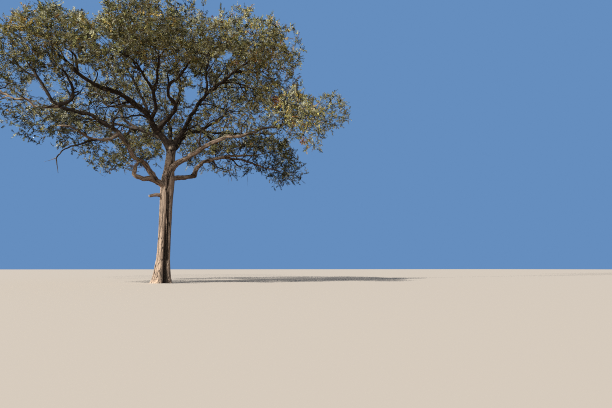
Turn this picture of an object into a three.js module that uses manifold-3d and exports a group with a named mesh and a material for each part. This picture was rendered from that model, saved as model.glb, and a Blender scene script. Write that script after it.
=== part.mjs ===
// A tall savanna tree with a straight trunk, crooked boughs and a wide open crown.
// Millimetres, +Z up, +X to the right and -Y to the front. The origin is the middle of the
// flat cut at ground level. Sizes are written in metres and scaled once, by METRE.

import * as THREE from 'three';
import { mergeVertices } from 'three/addons/utils/BufferGeometryUtils.js';
import Module from 'manifold-3d';

const wasm = await Module();
wasm.setup();

const METRE = 1000;
// Clearance that a cut piece keeps to its neighbour, in metres
const GAP = 0.0004;

// Trunk: its line from the cut to the fork, and its diameter at each height above the cut
const TRUNK_LINE = [[0, 0, 0], [0, 0, 3.2], [0, 0, 6.2], [0.15, 0, 9.3]];
const TRUNK_GIRTH = [
  [0, 1.36], [0.35, 1.2], [0.9, 1.08], [1.6, 0.96], [3.2, 0.87],
  [5.2, 0.86], [6.4, 0.92], [7.0, 0.92], [7.7, 0.70], [8.5, 0.64], [9.3, 0.62],
];
const TRUNK_SIDES = 14;
const TRUNK_STEPS = 10;
// Root buttresses: how many, how far they swell the foot, and the height at which they fade
const BUTTRESSES = 5;
const BUTTRESS_SWELL = 0.10;
const BUTTRESS_HEIGHT = 0.7;

// Dead stub that stands out of the trunk on its left
const STUB_LINE = [[-0.25, -0.05, 5.85], [-1.1, -0.45, 5.7]];
const STUB_GIRTH = [0.22, 0.17];

// Bough section: sides of a stout and of a thin one, the foot of a thin one, and the length
// between rings
const BOUGH_SIDES = 6;
const THIN_BOUGH_SIDES = 5;
const THIN_BOUGH = 0.2;
const RING_SPACING = 1.1;
const MIN_RINGS = 3;
// The low left arm turns back on itself, so it has more rings
const CROOKED_RINGS = 8;
// Unevenness of a bough's thickness, as a part of its radius, and its pace along the bough
const BOUGH_KNOTS = 0.07;
const KNOT_PACE = 9;

// Foliage: how finely a mass is divided, how uneven it is, and how flat its underside lies
const MASS_DETAIL = 2;
const COARSE_MASS_DETAIL = 1;
const MASS_LUMPS = 0.085;
const UNDERSIDE = 0.75;
// The waves of lumps: their pace along X, Y and Z, and how far the seed shifts them
const LUMP_WAVES = [
  { pace: [3.3, 0, 0], shift: 1.7 },
  { pace: [0, 3.9, 0], shift: 2.3 },
  { pace: [4.6, -3.8, 2.9], shift: 1 },
];

// Vertices nearer than this, in millimetres, are one vertex
const SAME_PLACE = 1e-4;

const BARK = { color: 0x8a7a68, roughness: 0.95, metalness: 0 };
const FOLIAGE_FRONT = { color: 0x7f7d3a, roughness: 0.9, metalness: 0 };
const FOLIAGE_BACK = { color: 0x5d6436, roughness: 0.9, metalness: 0 };

// Boughs, each after the one it grows from: the parent, how far along the parent it starts,
// its diameters at both ends, the mass it ends in, and the bends that it passes to its tip.
const BOUGHS = [
  {
    name: 'bough_left_low', from: 'trunk', start: 0.69, ends: [0.42, 0.2],
    into: 'foliage_trunk_left', rings: CROOKED_RINGS,
    via: [[-0.65, -0.55, 6.72], [-1.1, -0.9, 6.84], [-1.6, -1.25, 6.72], [-2, -1.5, 6.82],
      [-1.8, -1.35, 7.9]],
  },
  {
    name: 'bough_left_reach', from: 'bough_left_low', start: 0.3, ends: [0.34, 0.12],
    into: 'foliage_front_left',
    via: [[-1.3, -1.1, 7.55], [-2.2, -1.6, 8.1], [-2.5, -1.9, 8.6], [-3.3, -2.3, 9.4],
      [-4.8, -2.8, 10.1], [-6.3, -3.2, 10.3], [-7, -3.6, 11.3], [-7.8, -4, 12.4]],
  },
  {
    name: 'bough_left_upright', from: 'bough_left_reach', start: 0.72, ends: [0.2, 0.1],
    into: 'foliage_front_left',
    via: [[-5.6, -3, 10.7], [-5.5, -3.2, 11.3], [-6.2, -3.8, 12.5]],
  },
  {
    name: 'bough_left_outer', from: 'bough_left_reach', start: 0.79, ends: [0.15, 0.08],
    into: 'foliage_left_outer',
    via: [[-7.2, -3.8, 9.9], [-7.5, -4, 10.1], [-8, -4.2, 9.9], [-8.5, -4.3, 10.2],
      [-9.8, -2.6, 11.6]],
  },
  {
    name: 'bough_left_level', from: 'bough_left_reach', start: 0.37, ends: [0.18, 0.1],
    into: 'foliage_left_low',
    via: [[-3.6, -2.6, 8.7], [-4.4, -3, 8.5], [-5.4, -3.8, 8.9], [-6.2, -4, 8.8]],
  },
  {
    name: 'bough_left_hanging', from: 'bough_left_level', start: 0.38, ends: [0.1, 0.05],
    via: [[-4.7, -3.3, 8.15], [-5.4, -3.8, 7.6], [-5.8, -4.1, 6.9], [-5.6, -4.2, 6.1]],
  },
  {
    name: 'bough_left_high', from: 'trunk', start: 0.97, ends: [0.48, 0.14],
    into: 'foliage_front_left',
    via: [[-0.3, -0.1, 9.7], [-0.9, -0.3, 10.3], [-1.3, -0.5, 11], [-1.8, -0.7, 11.5],
      [-3.2, -1.2, 12.1], [-4.7, -2, 12.4], [-5.5, -2.6, 12.7], [-6.6, -3.5, 13.5]],
  },
  {
    name: 'bough_left_inner', from: 'bough_left_high', start: 0.35, ends: [0.2, 0.1],
    into: 'foliage_left_inner',
    via: [[-2.8, 0, 11.9], [-3.7, 0.8, 12], [-4.5, 1.6, 12.5], [-5.4, 2.4, 14.2]],
  },
  {
    name: 'bough_rise_right', from: 'bough_left_high', start: 0.18, ends: [0.3, 0.12],
    into: 'foliage_front_mid_right',
    via: [[-0.4, -0.6, 10.8], [0.2, -1.2, 11.8], [-0.25, -1.9, 12.3], [-0.2, -2.6, 12.8],
      [0.3, -2.9, 13.1], [1, -3.9, 14.1]],
  },
  {
    name: 'bough_rise_left', from: 'bough_left_high', start: 0.27, ends: [0.24, 0.12],
    into: 'foliage_front_centre',
    via: [[-1, -0.7, 11.6], [-1.2, -1.5, 12.5], [-1, -2.4, 13.1], [-0.9, -4, 14.2]],
  },
  {
    name: 'bough_rise_far_left', from: 'bough_rise_left', start: 0.42, ends: [0.16, 0.09],
    into: 'foliage_front_mid_left',
    via: [[-1.6, -2, 13.1], [-2.2, -3.2, 13.6], [-3.2, -4.6, 13.5]],
  },
  {
    name: 'bough_right_high', from: 'trunk', start: 0.99, ends: [0.36, 0.12],
    into: 'foliage_front_right',
    via: [[0.5, 0.4, 10.1], [1.1, 0.7, 11.3], [2, 0.8, 13.3], [2.5, 0.6, 13.9],
      [3.3, 0.2, 14.6], [4.9, -1.6, 15.6], [5.4, -2.8, 15.9]],
  },
  {
    name: 'bough_right_upright', from: 'bough_right_high', start: 0.5, ends: [0.18, 0.09],
    into: 'foliage_front_mid_right',
    via: [[2.4, 0.4, 14.5], [2.3, 0, 15.1], [2.3, -1.4, 15.4], [2.1, -3.4, 15]],
  },
  {
    name: 'bough_right_inner', from: 'bough_right_high', start: 0.63, ends: [0.16, 0.08],
    into: 'foliage_right_inner',
    via: [[4.6, 0.5, 15], [5.7, 0.8, 14.8], [6.4, 1.1, 14.5]],
  },
  {
    name: 'bough_right_shoulder', from: 'bough_right_high', start: 0.76, ends: [0.14, 0.08],
    into: 'foliage_right_shoulder',
    via: [[5.2, -1, 15.2], [6.6, -1.5, 15.4]],
  },
  {
    name: 'bough_right_main', from: 'trunk', start: 0.8, ends: [0.42, 0.1],
    into: 'foliage_front_far_right',
    via: [[0.5, -0.3, 8], [1, -0.6, 8.4], [2.1, -1.3, 9], [3.6, -1.9, 9.8], [4.5, -2.2, 9.9],
      [6.1, -2.8, 10.4], [7.2, -3.4, 10.6], [8, -4.6, 11.2]],
  },
  {
    name: 'bough_centre_spur', from: 'bough_right_main', start: 0.27, ends: [0.14, 0.08],
    into: 'foliage_centre_right',
    via: [[1.9, -1.5, 9.6], [2.3, -1.2, 10.6], [2.9, -1, 11.4]],
  },
  {
    name: 'bough_right_far', from: 'bough_right_main', start: 0.8, ends: [0.13, 0.08],
    into: 'foliage_right_tip',
    via: [[8.2, -2.2, 11.6], [9.2, -1.2, 12.3], [11, -0.4, 13]],
  },
  {
    name: 'bough_right_elbow', from: 'trunk', start: 0.755, ends: [0.34, 0.3],
    via: [[1, 0.6, 7.3], [1.85, 1.12, 7.52]],
  },
  {
    name: 'bough_right_rise', from: 'bough_right_elbow', start: 0.96, ends: [0.3, 0.12],
    into: 'foliage_right_low',
    via: [[2.25, 1.4, 8.6], [3.1, 1.8, 9.1], [4.2, 2, 9.5], [5.2, 1.8, 9.6], [6.9, 1.5, 9.8]],
  },
  {
    name: 'bough_right_sweep', from: 'bough_right_rise', start: 0.5, ends: [0.17, 0.1],
    into: 'foliage_right_lowest',
    via: [[5.2, 2.4, 9.5], [6.2, 2.4, 9.3], [7.1, 2.2, 9], [8.5, 1.8, 8.7]],
  },
  {
    name: 'bough_back_left', from: 'trunk', start: 0.94, ends: [0.34, 0.14],
    into: 'foliage_back_top_left',
    via: [[-0.6, 1.4, 10.2], [-1.8, 3, 11.2], [-3.4, 4.2, 12.4], [-4.1, 4.9, 14.6]],
  },
  {
    name: 'bough_back_left_outer', from: 'bough_back_left', start: 0.5, ends: [0.2, 0.1],
    into: 'foliage_back_left',
    via: [[-4, 3.8, 11.8], [-6.2, 4.2, 12.2], [-8, 4.4, 12.8]],
  },
  {
    name: 'bough_back_left_low', from: 'bough_back_left', start: 0.6, ends: [0.18, 0.1],
    into: 'foliage_back_low_left',
    via: [[-3, 5.4, 11.9], [-3.7, 8, 12.5]],
  },
  {
    name: 'bough_back_mid', from: 'trunk', start: 0.98, ends: [0.28, 0.12],
    into: 'foliage_back_top',
    via: [[0, 1.2, 11], [-0.3, 3, 12.8], [-0.6, 5.3, 15.2]],
  },
  {
    name: 'bough_back_right', from: 'trunk', start: 0.955, ends: [0.32, 0.14],
    into: 'foliage_back_top_right',
    via: [[1, 1.5, 10.6], [2.4, 3.2, 12], [4, 4.4, 13.4], [4.9, 5.4, 15]],
  },
  {
    name: 'bough_back_right_outer', from: 'bough_back_right', start: 0.42, ends: [0.2, 0.1],
    into: 'foliage_back_right',
    via: [[4.2, 3.8, 12], [6.6, 4.4, 12.3], [8.8, 4.8, 12.8]],
  },
  {
    name: 'bough_back_right_low', from: 'bough_back_right', start: 0.5, ends: [0.18, 0.1],
    into: 'foliage_back_low_right',
    via: [[3.2, 5.4, 12], [3.6, 8.2, 12.5]],
  },
  {
    name: 'bough_top_left', from: 'bough_left_high', start: 0.29, ends: [0.2, 0.1],
    into: 'foliage_top_left',
    via: [[-2.2, -0.5, 13], [-3.6, -0.7, 15.2]],
  },
  {
    name: 'bough_top_centre', from: 'bough_rise_right', start: 0.3, ends: [0.2, 0.1],
    into: 'foliage_top_centre',
    via: [[0.5, -0.4, 13.6], [0.1, 0.4, 16.2]],
  },
  {
    name: 'bough_top_right', from: 'bough_right_high', start: 0.56, ends: [0.15, 0.09],
    into: 'foliage_top_right',
    via: [[3.2, 0.8, 15.2], [3.9, 1, 16.6]],
  },
];

// Masses of foliage: centre and half sizes along X, Y and Z. A coarse one is divided less
// finely, and one at the back is greener.
const MASSES = [
  { name: 'foliage_front_left', centre: [-6.7, -4.2, 13.6], half: [3, 2.9, 1.5] },
  { name: 'foliage_front_mid_left', centre: [-3.7, -5.5, 12.8], half: [2, 3.1, 1.25] },
  { name: 'foliage_front_centre', centre: [-1.9, -5.3, 14.45], half: [2.2, 3.1, 1.5] },
  { name: 'foliage_front_mid_right', centre: [1.4, -5.2, 14.5], half: [2, 3.1, 1.4] },
  { name: 'foliage_front_right', centre: [4.3, -4.4, 15.4], half: [2.2, 2.9, 1.6] },
  { name: 'foliage_right_shoulder', centre: [7.1, -2.2, 16], half: [1.8, 2.8, 2] },
  { name: 'foliage_front_far_right', centre: [7.6, -5.6, 10.8], half: [1.8, 2.3, 1.25], coarse: true },
  { name: 'foliage_left_outer', centre: [-9.9, -1.4, 12.2], half: [2.2, 3.2, 1.6] },
  { name: 'foliage_left_low', centre: [-6.4, -3.9, 8.75], half: [2.3, 2.3, 1.05], coarse: true },
  { name: 'foliage_left_low_inner', centre: [-4.8, -3.3, 9.5], half: [1.1, 1.5, 0.6], coarse: true },
  { name: 'foliage_trunk_left', centre: [-2.6, -1.8, 8.2], half: [2.1, 1.9, 1], coarse: true },
  { name: 'foliage_left_inner', centre: [-5.6, 2.2, 14.5], half: [2.3, 2.6, 1.15] },
  { name: 'foliage_top_left', centre: [-4, -0.9, 15.4], half: [2.7, 2.6, 1.5] },
  { name: 'foliage_top_centre', centre: [-0.1, 0.4, 16.6], half: [2.8, 2.9, 1.55] },
  { name: 'foliage_top_right', centre: [4, 1.4, 17], half: [2.8, 3.2, 1.3] },
  { name: 'foliage_right_inner', centre: [6.6, 1.6, 14.6], half: [2, 2.3, 0.95], coarse: true },
  { name: 'foliage_right_outer', centre: [9, -0.6, 13.2], half: [1.7, 2.5, 1.3] },
  { name: 'foliage_right_tip', centre: [11.8, -0.2, 13.2], half: [1.8, 2.5, 1.6] },
  { name: 'foliage_centre_right', centre: [3.6, -0.8, 11.5], half: [2.4, 1.7, 1.05], coarse: true },
  { name: 'foliage_right_low', centre: [7.3, 0.8, 10.1], half: [2.5, 2.2, 1.15], coarse: true },
  { name: 'foliage_right_lowest', centre: [8.9, 1.6, 8.5], half: [1.7, 1.9, 1.3], coarse: true },
  {
    name: 'foliage_back_low_left', centre: [-3.7, 8.8, 12.7], half: [3.3, 2.7, 1.35],
    coarse: true, back: true,
  },
  {
    name: 'foliage_back_low_right', centre: [3, 9.3, 12.8], half: [3.5, 2.6, 1.35],
    coarse: true, back: true,
  },
  { name: 'foliage_back_left', centre: [-8.5, 4.2, 12.9], half: [2.8, 3.1, 1.5], back: true },
  { name: 'foliage_back_top_left', centre: [-4.2, 5, 15], half: [2.6, 2.7, 1.3], back: true },
  { name: 'foliage_back_top', centre: [-0.7, 5.8, 16], half: [2.3, 2.7, 1.6], back: true },
  { name: 'foliage_back_top_right', centre: [5, 5.5, 15.7], half: [2.8, 2.8, 1.6], back: true },
  { name: 'foliage_back_right', centre: [8.9, 5.4, 12.9], half: [2.9, 3.1, 1.5], back: true },
];

const tree = new THREE.Group();

// Value at x of the line through a few [x, value] pairs
function between(pairs, x) {
  const upper = pairs.findIndex(([place]) => place >= x);
  if (upper === -1) return pairs[pairs.length - 1][1];
  if (upper === 0) return pairs[0][1];
  const [x0, v0] = pairs[upper - 1];
  const [x1, v1] = pairs[upper];
  return THREE.MathUtils.mapLinear(x, x0, x1, v0, v1);
}

// Turns a BufferGeometry into a solid that can be joined and cut
function solidOf(geometry) {
  geometry.deleteAttribute('normal');
  geometry.deleteAttribute('uv');
  const merged = mergeVertices(geometry, SAME_PLACE);
  return new wasm.Manifold(new wasm.Mesh({
    numProp: 3,
    vertProperties: new Float32Array(merged.attributes.position.array),
    triVerts: new Uint32Array(merged.index.array),
  }));
}

// Turns a solid back into a BufferGeometry with flat faces
function geometryOf(solid) {
  const mesh = solid.getMesh();
  const geometry = new THREE.BufferGeometry();
  geometry.setAttribute('position', new THREE.BufferAttribute(mesh.vertProperties, 3));
  geometry.setIndex(new THREE.BufferAttribute(mesh.triVerts, 1));
  geometry.computeVertexNormals();
  return geometry;
}

// Smooth line through points given in metres
function lineThrough(points) {
  const bends = points.map((point) => new THREE.Vector3(...point));
  return new THREE.CatmullRomCurve3(bends, false, 'centripetal');
}

// Closed limb along a line: a cylinder whose rings are carried to the line and given the
// radius that radiusAt(part of the length, angle) returns. extra widens and lengthens it.
function limbSolid(line, radiusAt, sides, steps, extra) {
  const geometry = new THREE.CylinderGeometry(1, 1, 1, sides, steps);
  const frames = line.computeFrenetFrames(steps);
  const place = geometry.attributes.position;
  const vertex = new THREE.Vector3();
  for (let i = 0; i < place.count; i += 1) {
    vertex.fromBufferAttribute(place, i);
    const along = 0.5 - vertex.y;
    const ring = Math.round(along * steps);
    const onAxis = Math.hypot(vertex.x, vertex.z) < 0.5;
    const angle = Math.atan2(vertex.z, vertex.x);
    const radius = onAxis ? 0 : radiusAt(along, angle) + extra;
    const centre = line.getPointAt(along);
    if (ring === 0) centre.addScaledVector(frames.tangents[0], -extra);
    if (ring === steps) centre.addScaledVector(frames.tangents[steps], extra);
    centre.addScaledVector(frames.normals[ring], radius * Math.cos(angle));
    centre.addScaledVector(frames.binormals[ring], radius * Math.sin(angle));
    place.setXYZ(i, centre.x * METRE, centre.y * METRE, centre.z * METRE);
  }
  return outward(solidOf(geometry), geometry);
}

// A limb's rings can run against its faces, so a solid that comes out inside out is turned
function outward(solid, geometry) {
  if (solid.volume() > 0) return solid;
  const faces = geometry.index.array;
  for (let i = 0; i < faces.length; i += 3) {
    [faces[i], faces[i + 1]] = [faces[i + 1], faces[i]];
  }
  return solidOf(geometry);
}

// The largest body of a solid that a cut has left in several pieces
function largest(solid) {
  return solid.decompose().sort((a, b) => b.volume() - a.volume())[0];
}

// Trunk from the flat cut at ground level to its fork, with the dead stub on its left
function makeTrunk(extra) {
  const line = lineThrough(TRUNK_LINE);
  const height = line.getLength();
  const radiusAt = (along, angle) => {
    const above = along * height;
    const swell = BUTTRESS_SWELL * Math.exp(-above / BUTTRESS_HEIGHT);
    return (between(TRUNK_GIRTH, above) / 2) * (1 + swell * Math.cos(BUTTRESSES * angle));
  };
  const column = limbSolid(line, radiusAt, TRUNK_SIDES, TRUNK_STEPS, extra);
  const stubRadius = (along) => THREE.MathUtils.lerp(...STUB_GIRTH, along) / 2;
  const stub = limbSolid(lineThrough(STUB_LINE), stubRadius, BOUGH_SIDES, 2, extra);
  return { line, solid: column.add(stub) };
}

// One bough from its parent's line through its bends to its tip
function makeBough(bough, parentLine, seed, extra) {
  const line = lineThrough([parentLine.getPointAt(bough.start).toArray(), ...bough.via]);
  const steps = bough.rings ?? Math.max(MIN_RINGS, Math.round(line.getLength() / RING_SPACING));
  const radiusAt = (along, angle) => {
    const knots = 1 + BOUGH_KNOTS * Math.sin(KNOT_PACE * along + seed) * Math.cos(angle + seed);
    return (THREE.MathUtils.lerp(...bough.ends, along) / 2) * knots;
  };
  const sides = bough.ends[0] > THIN_BOUGH ? BOUGH_SIDES : THIN_BOUGH_SIDES;
  return { line, solid: limbSolid(line, radiusAt, sides, steps, extra) };
}

// Height of a mass's lumps, in a direction from its centre, from the sum of the waves
function lumpsAt(direction, seed) {
  return LUMP_WAVES.reduce((sum, { pace, shift }) => (
    sum + Math.sin(direction.dot(new THREE.Vector3(...pace)) + shift * seed)
  ), 0);
}

// Uneven closed mass: a divided icosahedron, drawn out to its half sizes, with a flatter
// underside and three waves of lumps whose places follow from the seed
function massSolid(mass, seed, extra) {
  const geometry = new THREE.IcosahedronGeometry(1, mass.coarse ? COARSE_MASS_DETAIL : MASS_DETAIL);
  const place = geometry.attributes.position;
  const vertex = new THREE.Vector3();
  const half = new THREE.Vector3(...mass.half);
  const centre = new THREE.Vector3(...mass.centre);
  for (let i = 0; i < place.count; i += 1) {
    vertex.fromBufferAttribute(place, i);
    const lumps = lumpsAt(vertex, seed);
    const flat = vertex.z < 0 ? UNDERSIDE : 1;
    vertex.multiply(half).multiplyScalar(1 + MASS_LUMPS * lumps);
    vertex.z *= flat;
    vertex.addScaledVector(vertex.clone().normalize(), extra).add(centre).multiplyScalar(METRE);
    place.setXYZ(i, vertex.x, vertex.y, vertex.z);
  }
  return solidOf(geometry);
}

// Adds one finished solid to the tree
function place(name, solid, look) {
  const mesh = new THREE.Mesh(geometryOf(solid), new THREE.MeshStandardMaterial(look));
  mesh.name = name;
  tree.add(mesh);
}

const masses = new Map(MASSES.map((mass, seed) => [mass.name, {
  ...mass,
  solid: massSolid(mass, seed, 0),
  room: massSolid(mass, seed, GAP),
}]));

// Wood first: each bough gives way to the wood before it, and ends where it enters its mass
const trunk = makeTrunk(0);
const lines = new Map([['trunk', trunk.line]]);
const woodRoom = [makeTrunk(GAP).solid];
place('trunk', trunk.solid, BARK);
BOUGHS.forEach((bough, seed) => {
  const parentLine = lines.get(bough.from);
  const { line, solid } = makeBough(bough, parentLine, seed, 0);
  const end = masses.get(bough.into);
  let cut = end ? solid.subtract(end.room) : solid;
  for (const room of woodRoom) cut = cut.subtract(room);
  place(bough.name, largest(cut), BARK);
  lines.set(bough.name, line);
  const room = makeBough(bough, parentLine, seed, GAP).solid;
  woodRoom.push(end ? room.subtract(end.solid) : room);
});

// Then the foliage, cut round the wood and round the masses before it
const massRoom = [];
for (const mass of masses.values()) {
  let cut = mass.solid;
  for (const room of [...woodRoom, ...massRoom]) cut = cut.subtract(room);
  place(mass.name, largest(cut), mass.back ? FOLIAGE_BACK : FOLIAGE_FRONT);
  massRoom.push(mass.room);
}

export default tree;
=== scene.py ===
"""A spreading savanna tree: a barked trunk and boughs, crooked side limbs, twigs that branch from them,
and sprays of small olive leaves."""

import math

import bpy
import numpy as np
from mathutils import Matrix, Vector, noise
from mathutils.bvhtree import BVHTree


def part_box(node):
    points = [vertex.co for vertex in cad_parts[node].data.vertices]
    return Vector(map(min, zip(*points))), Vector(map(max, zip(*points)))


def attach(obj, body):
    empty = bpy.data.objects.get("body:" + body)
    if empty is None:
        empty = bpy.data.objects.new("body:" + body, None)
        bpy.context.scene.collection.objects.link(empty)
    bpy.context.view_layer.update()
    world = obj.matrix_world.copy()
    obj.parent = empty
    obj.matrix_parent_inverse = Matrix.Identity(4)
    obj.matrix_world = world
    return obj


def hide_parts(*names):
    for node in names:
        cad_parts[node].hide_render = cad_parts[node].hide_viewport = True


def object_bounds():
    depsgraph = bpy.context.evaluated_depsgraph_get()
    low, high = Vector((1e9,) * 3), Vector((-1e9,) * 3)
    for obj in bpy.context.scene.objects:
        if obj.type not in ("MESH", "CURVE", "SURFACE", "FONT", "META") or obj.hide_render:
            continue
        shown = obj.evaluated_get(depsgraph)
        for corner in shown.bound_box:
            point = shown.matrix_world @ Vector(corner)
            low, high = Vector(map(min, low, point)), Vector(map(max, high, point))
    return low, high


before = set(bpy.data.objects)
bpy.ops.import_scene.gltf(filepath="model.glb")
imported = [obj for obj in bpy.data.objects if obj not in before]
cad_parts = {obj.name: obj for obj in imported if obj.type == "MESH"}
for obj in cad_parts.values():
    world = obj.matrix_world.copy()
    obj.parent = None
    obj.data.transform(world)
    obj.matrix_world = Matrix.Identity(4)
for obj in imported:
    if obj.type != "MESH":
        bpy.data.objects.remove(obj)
cad_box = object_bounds()

# Blender shifts its noise by the clock's time unless it is given a seed
NOISE_SEED = 3
noise.seed_set(NOISE_SEED)

# Everything is in metres, +Z up, with the origin in the middle of the flat cut at ground level

# The photograph's view: its size in pixels, where the camera stood and how it was turned
PHOTO_WIDTH = 612
PHOTO_HEIGHT = 408
LENS = 24
SENSOR = 36
FOCAL_PIXELS = PHOTO_WIDTH * LENS / SENSOR
CAMERA_PLACE = Vector((0, -29, 0.95))
CAMERA_PITCH = math.radians(8.983)
CAMERA_YAW = math.radians(19.12)

# Two soft suns at the front left and a weak one in front: name, degrees to the right, degrees above the
# ground, strength
SUNS = [("high_sun", -58, 44, 4.9), ("low_sun", -74, 8, 3.6), ("front_sun", -12, 24, 0.8)]
SUN_SOFTNESS = math.radians(3)
SUN_COLOUR = (1.0, 0.94, 0.84)
# Fill light, and the backdrop that the camera sees behind the tree
FILL_COLOUR = (0.55, 0.72, 1.0)
FILL_STRENGTH = 0.18
BACKDROP_COLOUR = (0.13, 0.27, 0.52)
# The floor's colour as seen, and the warmer, darker one that it throws back on the tree
FLOOR_COLOUR = (0.46, 0.42, 0.38)
FLOOR_GLOW = (0.16, 0.11, 0.08)
FLOOR_SIZE = 900
FLOOR_ROUGHNESS = 0.95
# Width of the filter between pixels
PIXEL_FILTER = 1.0

# Trunk: its line, and its diameter at each height above the cut
TRUNK_LINE = [(0, 0, 0), (0, 0, 3.2), (0, 0, 6.2), (0.15, 0, 9.3)]
TRUNK_HEIGHTS = [0, 0.35, 0.9, 1.6, 3.2, 5.2, 6.4, 7.0, 7.7, 8.5, 9.3]
TRUNK_GIRTHS = [1.36, 1.2, 1.08, 0.96, 0.87, 0.86, 0.92, 0.92, 0.70, 0.64, 0.62]
TRUNK_SIDES = 132
TRUNK_RING = 0.028
# The trunk's radius between its toes and grooves, beside the measured one
SMOOTH_TRUNK = 0.97

# Toes of the root flare: direction in degrees from the front towards the right, and how far each swells
TOES = [(-82, 0.13), (-22, 0.09), (48, 0.11), (112, 0.08), (170, 0.12), (230, 0.09)]
TOE_WIDTH = 24
TOE_HEIGHT = 0.55

# Grooves down the trunk: direction, depth, half width in degrees, and the heights where they begin and end
GROOVES = [(22, 0.2, 9, -0.6, 5.0), (46, 0.2, 8, 1.2, 7.2), (30, 0.13, 6, 4.0, 8.6),
           (-58, 0.035, 7, -0.4, 3.4), (-30, 0.03, 5, 1.0, 6.6),
           (95, 0.06, 12, -0.4, 5.2), (150, 0.05, 10, 0.4, 7.4), (215, 0.06, 12, -0.4, 4.6),
           (280, 0.035, 8, 1.2, 6.2)]
# The heights over which a groove comes in and runs out
GROOVE_START = 0.5
GROOVE_END = 2.4
# How far the grooves turn in degrees for each metre of height, and how far and how often they stray
GROOVE_TWIST = -4.2
GROOVE_WANDER = 7
GROOVE_PACE = 0.55
# How much wider and deeper a groove is at the ground, and over what height each of these fades
GROOVE_OPENING = 1.1
OPENING_HEIGHT = 2.6
GROOVE_DEEPENING = 0.35
DEEPENING_HEIGHT = 0.8
# The depth at which the painted shade in a groove is as dark as that in a fissure
GROOVE_SHADE_DEPTH = 0.11

# Bark relief: fissures round the limb in cycles per metre, how drawn out they are along it, and how deep
# they are, in metres on the trunk and as a share of the radius on the boughs
TRUNK_FISSURES = 8
BOUGH_FISSURES = 11
FISSURE_STRETCH = 0.07
TRUNK_FISSURE_DEPTH = 0.024
BOUGH_FISSURE_DEPTH = 0.07
# How far the fissures stray, and how often round the limb and along it
FISSURE_WANDER = 0.12
WANDER_ROUND = 1.3
WANDER_ALONG = 0.9
# Cross cracks beside the fissures: how many round the limb and along it, where their pattern starts, and
# how deep they are
CROSS_ROUND = 0.6
CROSS_ALONG = 0.42
CROSS_START = 31
CROSS_DEPTH = 0.15
# How far from its middle line a fissure and a cross crack reach, in the noise's own values
FISSURE_WIDTH = 0.11
CROSS_WIDTH = 0.06
# The length of a limb's pointed end beside its radius there
POINTED_END = 0.5

# Dead stub on the trunk's left
STUB_LINE = [(-0.25, -0.05, 5.85), (-0.7, -0.25, 5.82), (-1.1, -0.45, 5.7)]
STUB_GIRTH = (0.24, 0.17)
STUB_RING = 0.03
STUB_SIDES = 24

# Boughs: widening at the foot and its length, fewest sides and those added for each metre of diameter,
# length between rings, knots with how many in a metre and how strong, and how far apart in the noise the
# knots of two boughs lie
COLLAR = 0.45
COLLAR_LENGTH = 0.38
FEWEST_SIDES = 10
SIDES_PER_METRE = 48
BOUGH_RING = 0.055
KNOTS = [(1.7, 0.2), (5.2, 0.18)]
KNOT_SHIFT = 3.1
# Crooks: how many in a metre and how far the line strays, the length over which they come in, and how far
# apart in the noise the crooks of two lines lie
CROOKS = [(0.85, 0.1), (2.3, 0.06), (5.5, 0.018)]
CROOKS_START = 0.8
CROOK_SHIFT = 7.3
# Points worked out from one bend to the next, and the length between the points that are kept
BEND_POINTS = 60
LINE_STEP = 0.05
# The last stretch of a limb, where it draws in, and how much; some limbs stay thick
TIP_TAPER = 0.7
TIP_CLOSING = 0.55
THICK_TIPS = ["bough_right_elbow"]

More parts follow.
